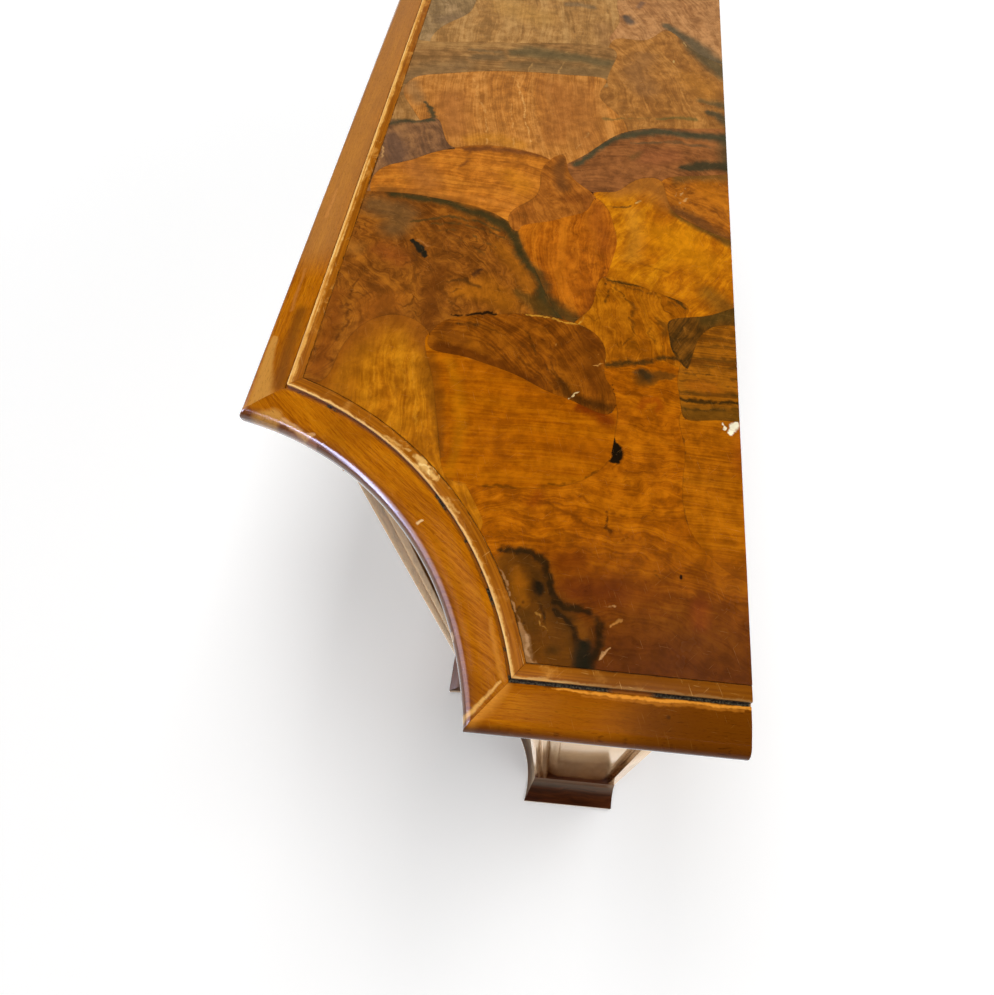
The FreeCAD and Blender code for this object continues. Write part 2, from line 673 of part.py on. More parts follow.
def make_screws():
    screws = []
    head_low = head_z - screw_head_height
    for point in screw_places():
        for x, y in (point, flip(point)):
            shank = Part.makeCylinder(screw_radius, cap_thickness + screw_bite, V(x, y, head_z))
            screw_head = Part.makeCylinder(screw_head_radius, screw_head_height, V(x, y, head_low))
            screws.append(shank.fuse(screw_head).removeSplitter())
    return Part.makeCompound(screws)


def save_rails():
    """Arched front rail, plain back rail and a bearer across the middle, all under the top."""
    low = core_bottom - rail_height
    rail_y = pedestal_front_y + rail_setback
    arch = [
        ((-pedestal_inner_x, low), (0, low + rail_arch)),
        ((pedestal_inner_x, low), None),
        ((pedestal_inner_x, core_bottom), None),
        ((-pedestal_inner_x, core_bottom), None),
    ]
    arch_wire = closed_wire(arch, lambda x, z: V(x, rail_y, z))
    save("front_rail", Part.Face(arch_wire).extrude(V(0, rail_thickness, 0)))

    back_rail_y = back_y - rail_thickness
    save("back_rail", prism(straight(
        (-pedestal_inner_x, back_rail_y), (pedestal_inner_x, back_rail_y),
        (pedestal_inner_x, back_y), (-pedestal_inner_x, back_y),
    ), low, core_bottom))

    bearer_y = rail_y + rail_thickness
    save("centre_bearer", prism(straight(
        (-bearer_width / 2, bearer_y), (bearer_width / 2, bearer_y),
        (bearer_width / 2, back_rail_y), (-bearer_width / 2, back_rail_y),
    ), core_bottom - bearer_height, core_bottom))


os.makedirs("parts", exist_ok=True)
save("top_core", make_core())
save("veneer_leaves", make_leaves())
save_bands()
save_mouldings()
save_rails()
save_walls()
save_plinth()
save_pair("pedestal_cap", make_cap())
save("top_screws", make_screws())
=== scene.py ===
# %% [markdown]
# # A console table with a figured walnut top
# The table stands on two panelled pedestals. Its top is laid with many leaves of walnut veneer, framed by a
# narrow band and a solid moulding, and it has seen a long life: the polish is scratched, the lip beside the
# moulding is worn to bare wood and the gap behind it is full of old wax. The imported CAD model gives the
# exact shapes. This lesson adds what a cabinet maker's bench and the years have added.

# %% Load the frame
import json
import math

import bpy
from mathutils import Matrix, Vector

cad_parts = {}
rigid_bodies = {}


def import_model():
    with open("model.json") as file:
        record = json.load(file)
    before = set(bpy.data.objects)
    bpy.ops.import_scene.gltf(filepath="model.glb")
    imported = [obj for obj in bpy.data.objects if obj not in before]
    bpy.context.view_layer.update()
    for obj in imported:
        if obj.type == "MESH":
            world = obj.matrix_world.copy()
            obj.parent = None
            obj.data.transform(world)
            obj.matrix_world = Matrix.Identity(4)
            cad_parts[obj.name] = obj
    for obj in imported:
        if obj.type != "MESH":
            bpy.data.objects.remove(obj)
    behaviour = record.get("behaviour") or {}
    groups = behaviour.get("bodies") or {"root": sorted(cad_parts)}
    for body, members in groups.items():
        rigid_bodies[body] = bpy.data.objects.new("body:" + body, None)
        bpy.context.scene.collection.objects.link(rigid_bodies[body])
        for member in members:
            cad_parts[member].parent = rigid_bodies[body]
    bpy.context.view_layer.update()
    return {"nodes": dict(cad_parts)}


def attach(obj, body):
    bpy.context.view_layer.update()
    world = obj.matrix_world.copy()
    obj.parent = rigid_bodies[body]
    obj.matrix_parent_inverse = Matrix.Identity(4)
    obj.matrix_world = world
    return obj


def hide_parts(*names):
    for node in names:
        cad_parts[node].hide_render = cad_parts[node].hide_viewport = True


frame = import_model()

# %% [markdown]
# ## Colours and places
# Shaders work in linear light, while colours are easier to judge as screen values from 0 to 255, so one
# helper turns the second into the first. Places on the top are easier to measure on the real table from its
# right end and its back edge, in millimetres, so the marks on the veneer are written that way.

# %% Colours
HALF_LENGTH = 600.0
BACK = 200.0
MM_IN_A_METRE = 1000.0


def tone(red, green, blue):
    """A screen colour in the linear values that shaders work in."""
    levels = []
    for level in (red, green, blue):
        share = level / 255
        levels.append(share / 12.92 if share <= 0.04045 else ((share + 0.055) / 1.055) ** 2.4)
    return (*levels, 1.0)


print("golden walnut in linear light:", [round(level, 3) for level in tone(178, 106, 14)])

# %% [markdown]
# ## A bench for nodes
# Every finish here is a network of nodes. Wiring them one by one takes many lines, so a small class does
# the routine part: each call adds one node, feeds its inputs with sockets or plain values, and returns its
# output.

# %% Node bench
class Bench:
    """Lays out nodes in one tree. Each call adds a node and returns the socket that it puts out."""

    def __init__(self, tree):
        self.nodes = tree.nodes
        self.links = tree.links

    def feed(self, socket, value):
        if isinstance(value, bpy.types.NodeSocket):
            self.links.new(value, socket)
        else:
            socket.default_value = value

    def math(self, operation, first, second=0.0, clamp=False):
        node = self.nodes.new("ShaderNodeMath")
        node.operation = operation
        node.use_clamp = clamp
        self.feed(node.inputs[0], first)
        self.feed(node.inputs[1], second)
        return node.outputs[0]

    def vector(self, operation, first, second=(0.0, 0.0, 0.0)):
        node = self.nodes.new("ShaderNodeVectorMath")
        node.operation = operation
        self.feed(node.inputs[0], first)
        if operation == "SCALE":
            self.feed(node.inputs["Scale"], second)
        elif operation != "LENGTH":
            self.feed(node.inputs[1], second)
        single = operation in ("LENGTH", "DOT_PRODUCT", "DISTANCE")
        return node.outputs["Value" if single else "Vector"]

    def split(self, vector):
        node = self.nodes.new("ShaderNodeSeparateXYZ")
        self.feed(node.inputs[0], vector)
        return node.outputs[0], node.outputs[1], node.outputs[2]

    def join(self, x, y, z=0.0):
        node = self.nodes.new("ShaderNodeCombineXYZ")
        for socket, value in zip(node.inputs, (x, y, z)):
            self.feed(socket, value)
        return node.outputs[0]

    def noise(self, vector, scale=1.0, detail=2.0, rough=0.5, output="Fac"):
        node = self.nodes.new("ShaderNodeTexNoise")
        self.feed(node.inputs["Vector"], vector)
        self.feed(node.inputs["Scale"], scale)
        self.feed(node.inputs["Detail"], detail)
        self.feed(node.inputs["Roughness"], rough)
        return node.outputs[output]

    def fade(self, value, start, end, low=0.0, high=1.0):
        """Smooth step from low at start to high at end."""
        node = self.nodes.new("ShaderNodeMapRange")
        node.interpolation_type = "SMOOTHSTEP"
        for name, number in (("From Min", start), ("From Max", end), ("To Min", low), ("To Max", high)):
            node.inputs[name].default_value = number
        self.feed(node.inputs["Value"], value)
        return node.outputs["Result"]

    def mix(self, share, first, second, blend="MIX"):
        node = self.nodes.new("ShaderNodeMix")
        node.data_type = "RGBA"
        node.blend_type = blend
        self.feed(node.inputs[0], share)
        self.feed(node.inputs[6], first)
        self.feed(node.inputs[7], second)
        return node.outputs[2]

    def ramp(self, value, stops):
        node = self.nodes.new("ShaderNodeValToRGB")
        while len(node.color_ramp.elements) < len(stops):
            node.color_ramp.elements.new(1.0)
        for element, (position, colour) in zip(node.color_ramp.elements, stops):
            element.position = position
            element.color = colour
        self.feed(node.inputs[0], value)
        return node.outputs[0]

    def bump(self, height, distance):
        node = self.nodes.new("ShaderNodeBump")
        self.feed(node.inputs["Height"], height)
        node.inputs["Distance"].default_value = distance
        node.inputs["Strength"].default_value = 1.0
        return node.outputs["Normal"]

    def group(self, tree, **values):
        node = self.nodes.new("ShaderNodeGroup")
        node.node_tree = tree
        for name, value in values.items():
            self.feed(node.inputs[name.replace("_", " ")], value)
        return node.outputs

    def stretched(self, along, across, along_size, across_size, seed):
        """A place for noise, counted in one size along the grain and in another across it."""
        ahead = self.math("DIVIDE", along, along_size)
        return self.join(ahead, self.math("DIVIDE", across, across_size), seed)

    def drift(self, place, size, amount):
        """A push in a direction that changes over the given size."""
        push = self.vector("SUBTRACT", self.noise(place, 1 / size, 2.0, output="Color"), (0.5, 0.5, 0.5))
        return self.vector("SCALE", push, amount)

    def jitter(self, value, noise, amount):
        """A value moved up and down by a noise round its middle."""
        return self.math("ADD", value, self.math("MULTIPLY", self.math("SUBTRACT", noise, 0.5), amount))

    def weighted(self, *parts):
        """The sum of values, each times its share."""
        first, *others = [self.math("MULTIPLY", value, share) for value, share in parts]
        for part in others:
            first = self.math("ADD", first, part)
        return first

    def stain(self, colour, mask, strength, paint, blend="MIX"):
        """A colour with paint laid over it where a mask is high."""
        return self.mix(self.math("MULTIPLY", mask, strength), colour, paint, blend)

    def tones(self, value, start, end, levels):
        """Dark, middle and light tones laid out over a value from its start to its end."""
        stops = list(zip((0.0, 0.5, 1.0), (tone(*level) for level in levels)))
        return self.ramp(self.fade(value, start, end), stops)


def new_group(name, inputs, outputs):
    """A shader node group with its sockets, its bench, its inputs and its outputs."""
    tree = bpy.data.node_groups.new(name, "ShaderNodeTree")
    kinds = {float: "NodeSocketFloat", tuple: "NodeSocketVector"}
    for socket, value in inputs.items():
        made = tree.interface.new_socket(name=socket, in_out="INPUT", socket_type=kinds[type(value)])
        made.default_value = value
    for socket in outputs:
        kind = "NodeSocketVector" if socket == "Place" else "NodeSocketFloat"
        tree.interface.new_socket(name=socket, in_out="OUTPUT", socket_type=kind)
    entry = tree.nodes.new("NodeGroupInput")
    leave = tree.nodes.new("NodeGroupOutput")
    return tree, Bench(tree), entry.outputs, leave.inputs


def new_finish(name, **constants):
    """A material with its bench and its Principled shader. Constants go on the shader's own sockets."""
    material = bpy.data.materials.new(name)
    material.use_nodes = True
    bench = Bench(material.node_tree)
    shader = material.node_tree.nodes["Principled BSDF"]
    for socket, value in constants.items():
        shader.inputs[socket.replace("_", " ")].default_value = value
    coords = bench.nodes.new("ShaderNodeTexCoord").outputs["Object"]
    return material, bench, shader.inputs, bench.vector("SCALE", coords, MM_IN_A_METRE)


# %% [markdown]
# ## Marks on wood
# Streaks, knots, cracks and worn places all have a shape that can be drawn with a brush: a line through a
# few points whose width changes on the way. One group measures how far a place is from one stroke of the
# brush, as a share of its width, and several strokes are chained by keeping the smallest answer. Before it
# is measured, the place is pushed about by noise, so no stroke has a mechanical edge.

# %% Brush strokes
STROKE, bench, given, made = new_group(
    "brush stroke",
    {"Place": (0.0, 0.0, 0.0), "Start": (0.0, 0.0, 0.0), "End": (1.0, 0.0, 0.0),
     "Start Width": 1.0, "End Width": 1.0, "Before": 99.0},
    ["Reach", "Place"],
)
run = bench.vector("SUBTRACT", given["End"], given["Start"])
away = bench.vector("SUBTRACT", given["Place"], given["Start"])
length_squared = bench.math("MAXIMUM", bench.vector("DOT_PRODUCT", run, run), 0.0001)
share = bench.math("DIVIDE", bench.vector("DOT_PRODUCT", away, run), length_squared, clamp=True)
offset = bench.vector("LENGTH", bench.vector("SUBTRACT", away, bench.vector("SCALE", run, share)))
widening = bench.math("SUBTRACT", given["End Width"], given["Start Width"])
width = bench.math("ADD", given["Start Width"], bench.math("MULTIPLY", widening, share))
reach = bench.math("MINIMUM", given["Before"], bench.math("DIVIDE", offset, width))
bench.feed(made["Reach"], reach)
# The place is handed on unchanged, but only after the stroke is measured. That keeps a long list of strokes
# in order, one at a time, where the renderer would otherwise hold all of them at once and run out of room.
bench.feed(made["Place"], bench.vector("ADD", given["Place"], bench.math("SUBTRACT", reach, reach)))

WANDER, bench, given, made = new_group(
    "wandering place", {"Place": (0.0, 0.0, 0.0), "Far": 3.0, "Near": 1.2}, ["Place"]
)
far = bench.drift(given["Place"], 26, bench.math("MULTIPLY", given["Far"], 4.0))
near = bench.drift(given["Place"], 5, bench.math("MULTIPLY", given["Near"], 4.0))
bench.feed(made["Place"], bench.vector("ADD", bench.vector("ADD", given["Place"], far), near))


def add_marks(bench, place, colour, marks):
    """Paints marks of (points, colour, softness, strength) over a colour, the first one lowest.

    The points are (from the right end, from the back, half width) in millimetres.
    """
    for points, paint, soft, strength in marks:
        stops = points if len(points) > 1 else points * 2
        reach = 99.0
        for (a0, b0, w0), (a1, b1, w1) in zip(stops, stops[1:]):
            stroke = bench.group(
                STROKE, Place=place, Start=(a0, b0, 0.0), End=(a1, b1, 0.0),
                Start_Width=w0, End_Width=w1, Before=reach
            )
            reach, place = stroke["Reach"], stroke["Place"]
        mask = bench.fade(reach, 1 + soft, max(1 - soft, 0.0), 0.0, strength)
        colour = bench.mix(mask, colour, tone(*paint))
    return colour


print("groups:", [tree.name for tree in bpy.data.node_groups])

# %% [markdown]
# ## The figure of walnut
# Grain lines run along the leaf and bend where the tree bent. They are drawn round a centre: near for a
# swirl, far away for straight grain. The group below gives each place its distance along and across those
# lines. A second group turns the two into what the eye reads as wood: fine lines, broad bands, cross-grain
# curl, clouds and open pores, all from noise that is stretched along the grain.

# %% Grain and figure
GRAIN, bench, given, made = new_group(
    "grain round a centre",
    {"Place": (0.0, 0.0, 0.0), "Centre": (0.0, 0.0, 0.0), "Toward": (1.0, 0.0, 0.0), "Side": (0.0, 1.0, 0.0)},
    ["Along", "Across"],
)
away = bench.vector("SUBTRACT", given["Place"], given["Centre"])
ahead = bench.vector("DOT_PRODUCT", away, given["Toward"])
aside = bench.vector("DOT_PRODUCT", away, given["Side"])
radius = bench.vector("LENGTH", bench.join(ahead, aside))
bench.feed(made["Along"], bench.math("MULTIPLY", bench.math("ARCTAN2", aside, ahead), radius))
bench.feed(made["Across"], radius)

FIGURE, bench, given, made = new_group(
    "walnut figure",
    {"Along": 0.0, "Across": 0.0, "Seed": 0.0, "Line": 5.0, "Wander": 10.0},
    ["Lines", "Bands", "Curl", "Clouds", "Pores", "Veins"],
)
# Two slow noises bend the grain before the others are laid along it.
along, seed = given["Along"], given["Seed"]
sway = bench.noise(bench.stretched(along, given["Across"], 70.0, 40.0, seed), 1.0, 3.0)
sway = bench.math("MULTIPLY", bench.math("SUBTRACT", sway, 0.5), given["Wander"])
shiver = bench.noise(bench.stretched(along, given["Across"], 20.0, 13.0, seed), 1.0, 3.0)
shiver = bench.math("MULTIPLY", bench.math("SUBTRACT", shiver, 0.5), given["Wander"])
across = bench.math("ADD", given["Across"], bench.weighted((sway, 2.0), (shiver, 0.4)))


def grain_noise(along_size, across_size, shift, detail, rough=0.5):
    """Noise stretched along the bent grain. The shift keeps one layer from repeating another."""
    place = bench.stretched(along, across, along_size, across_size, bench.math("ADD", seed, shift))
    return bench.noise(place, 1.0, detail, rough)


fine_line = bench.math("MULTIPLY", given["Line"], 0.5)
broad_line = bench.math("MULTIPLY", given["Line"], 4.0)
lines = grain_noise(55.0, fine_line, 0.0, 4.0, 0.6)
bands = grain_noise(150.0, broad_line, 3.0, 4.0, 0.6)
curl = grain_noise(5.0, 45.0, 7.0, 3.0)
clouds = grain_noise(60.0, 45.0, 5.0, 5.0, 0.65)
pores = grain_noise(5.0, 0.4, 11.0, 1.0)
# Veins follow the height lines of a slow noise, and another noise breaks them up.
slow = grain_noise(70.0, 34.0, 17.0, 3.0, 0.55)
height_line = bench.math("PINGPONG", bench.math("MULTIPLY", slow, 9.0), 0.5)
broken = bench.fade(grain_noise(26.0, 20.0, 0.0, 3.0), 0.42, 0.66)
bench.feed(made["Lines"], lines)
bench.feed(made["Bands"], bands)
bench.feed(made["Curl"], curl)
bench.feed(made["Clouds"], clouds)
bench.feed(made["Pores"], bench.fade(pores, 0.60, 0.74))
bench.feed(made["Veins"], bench.math("MULTIPLY", bench.fade(height_line, 0.13, 0.02), broken))

# %% [markdown]
# ## Old polish
# A century of dusting leaves hair scratches in every direction and dull patches where hands and cloths have
# rubbed. Hair scratches are noise stretched so far that only its peaks show, as short thin lines. Three
# sets of them, each turned another way, are enough for the eye.

# %% Scratches and rubbed polish
POLISH, bench, given, made = new_group(
    "old polish", {"Place": (0.0, 0.0, 0.0)}, ["Scratches", "Rubbed", "Mottle"]
)
scratches = 0.0
for turn, density in ((0.35, 0.735), (1.45, 0.745), (2.4, 0.755)):
    ahead = bench.vector("DOT_PRODUCT", given["Place"], (math.cos(turn), math.sin(turn), 0.0))
    aside = bench.vector("DOT_PRODUCT", given["Place"], (-math.sin(turn), math.cos(turn), 0.0))
    hair = bench.noise(bench.stretched(ahead, aside, 16.0, 0.55, turn), 1.0, 1.0)
    scratches = bench.math("MAXIMUM", scratches, bench.fade(hair, density, density + 0.04))
bench.feed(made["Scratches"], scratches)
bench.feed(made["Rubbed"], bench.noise(given["Place"], 1 / 60, 4.0, 0.65))
bench.feed(made["Mottle"], bench.noise(given["Place"], 1 / 13, 4.0, 0.62))

# %% [markdown]
# ## Working on copies
# The CAD nodes stay as they are. A piece starts as a copy of a node's mesh: its loose triangles are welded
# and its flat faces are joined up again, as if it had just left the saw. Then its arrises are eased, since
# no real edge is perfectly sharp, and it takes the place of its node on the frame.

# %% Copy a node as a piece of its own
WELD = 0.00001
FLAT_ANGLE = 0.2
SHARP_ANGLE = 32


def deselect():
    if bpy.context.object and bpy.context.object.mode != "OBJECT":
        bpy.ops.object.mode_set(mode="OBJECT")
    bpy.ops.object.select_all(action="DESELECT")


def pick(piece):
    deselect()
    piece.select_set(True)
    bpy.context.view_layer.objects.active = piece


def welded_copy(node, name, dissolve=True):
    """A copy of a node's mesh with its triangles welded and its flat faces joined up."""
    piece = bpy.data.objects.new(name, frame["nodes"][node].data.copy())
    bpy.context.scene.collection.objects.link(piece)
    pick(piece)
    bpy.ops.object.mode_set(mode="EDIT")
    bpy.ops.mesh.select_all(action="SELECT")
    bpy.ops.mesh.remove_doubles(threshold=WELD)
    if dissolve:
        bpy.ops.mesh.dissolve_limited(angle_limit=math.radians(FLAT_ANGLE))
    bpy.ops.object.mode_set(mode="OBJECT")
    return piece


def soften(piece, width, segments=2):
    """Rounds the arrises of a piece and shades it smooth between them."""
    pick(piece)
    bevel = piece.modifiers.new("arris", "BEVEL")
    bevel.width = width
    bevel.segments = segments
    bevel.limit_method = "ANGLE"
    bevel.angle_limit = math.radians(SHARP_ANGLE)
    bevel.harden_normals = False
    bpy.ops.object.modifier_apply(modifier=bevel.name)
    bpy.ops.object.shade_smooth_by_angle(angle=math.radians(SHARP_ANGLE))


def settle(piece, node, finish):
    """Puts a finished piece on the frame in place of its node."""
    piece.data.materials.clear()
    piece.data.materials.append(finish)
    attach(piece, "root")
    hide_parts(node)


# %% [markdown]
# ## Cutting the veneer into leaves
# The CAD node holds the whole layer. In the workshop each leaf is sawn and fitted on its own, so the layer
# is cut up again along its seams. Where two leaves meet, their walls meet too, so more than two faces share
# one edge. Those edges are found, marked as seams, and a leaf is then everything that can be reached from
# one of its points without crossing a seam.

# %% Mark the seams
layer = welded_copy("veneer_leaves", "veneer_layer", dissolve=False)
pick(layer)
bpy.ops.object.mode_set(mode="EDIT")
bpy.ops.mesh.select_mode(type="EDGE")
bpy.ops.mesh.select_all(action="DESELECT")
bpy.ops.mesh.select_non_manifold(use_wire=False, use_boundary=True, use_multi_face=True, use_verts=False)
bpy.ops.mesh.mark_seam()
bpy.ops.mesh.select_all(action="DESELECT")
bpy.ops.mesh.edges_select_sharp(sharpness=math.radians(30))
bpy.ops.mesh.mark_seam()
bpy.ops.mesh.select_mode(type="FACE")
bpy.ops.mesh.select_all(action="DESELECT")
bpy.ops.object.mode_set(mode="OBJECT")
print("seam edges:", sum(edge.use_seam for edge in layer.data.edges))


# %% Saw out one leaf
VENEER_THICKNESS = 0.002
SEAM_WIDTH = 0.0007
ABOVE_THE_TOP = 800.0


def saw_leaf(name, at):
    """Takes the leaf under a point off the layer and makes it a sheet of its own with a marked rim."""
    pick(layer)
    above = Vector((HALF_LENGTH - at[0], BACK - at[1], ABOVE_THE_TOP)) / MM_IN_A_METRE
    _, _, _, face = layer.ray_cast(above, Vector((0, 0, -1)))
    layer.data.polygons[face].select = True
    bpy.ops.object.mode_set(mode="EDIT")
    bpy.ops.mesh.select_linked(delimit={"SEAM"})
    bpy.ops.mesh.separate(type="SELECTED")
    bpy.ops.object.mode_set(mode="OBJECT")
    leaf = next(piece for piece in bpy.context.selected_objects if piece != layer)
    leaf.name = name
    pick(leaf)
    bpy.ops.object.mode_set(mode="EDIT")
    bpy.ops.mesh.select_all(action="SELECT")
    bpy.ops.mesh.inset(thickness=SEAM_WIDTH, use_even_offset=False)
    bpy.ops.object.mode_set(mode="OBJECT")
    inner = {corner for face in leaf.data.polygons if face.select for corner in face.vertices}
    rim = leaf.data.attributes.new("rim", "FLOAT", "POINT")
    for number in range(len(leaf.data.vertices)):
        rim.data[number].value = 0.0 if number in inner else 1.0
    sheet = leaf.modifiers.new("thickness", "SOLIDIFY")
    sheet.thickness = VENEER_THICKNESS
    sheet.offset = -1.0
    bpy.ops.object.modifier_apply(modifier=sheet.name)
    return leaf


# %% [markdown]
# ## One finish for each leaf
# No two leaves come from the same part of the tree. Each entry of the table below gives a leaf a point that
# lies on it, its dark, middle and light tones, the direction of its grain and how tightly it bends, how
# fine and how wild its lines are, how much curl and cloud it has, and then its own streaks and knots.

# %% Leaves of the right half
BLACK = (28, 18, 7)
UMBER = (74, 40, 9)
CREAM = (232, 200, 140)
SLATE = (62, 52, 24)

# Dark streak that runs through the burr and under the round leaf, and the vein beside the cracked leaf.
DARK_RIVER = [(352, 150, 6), (358, 166, 8), (370, 173, 7), (385, 172, 5), (397, 178, 5), (408, 188, 5),
              (421, 196, 5), (436, 203, 5), (451, 211, 5.5), (463, 222, 6), (470, 238, 6), (474, 254, 6),
              (480, 268, 6), (484, 285, 5), (486, 305, 5), (486, 330, 4)]
DARK_VEIN = [(318, 48, 2), (317, 62, 2.2), (311, 78, 2.5), (309, 92, 3), (305, 112, 2.2)]
KNOT_SLIT = [(347, 212, 1.2), (344, 228, 2.0), (341, 246, 1.2)]
GREEN_LINE = [(660, 34, 3), (659, 50, 3), (654, 75, 1.6), (648, 105, 1.6), (641, 132, 2)]

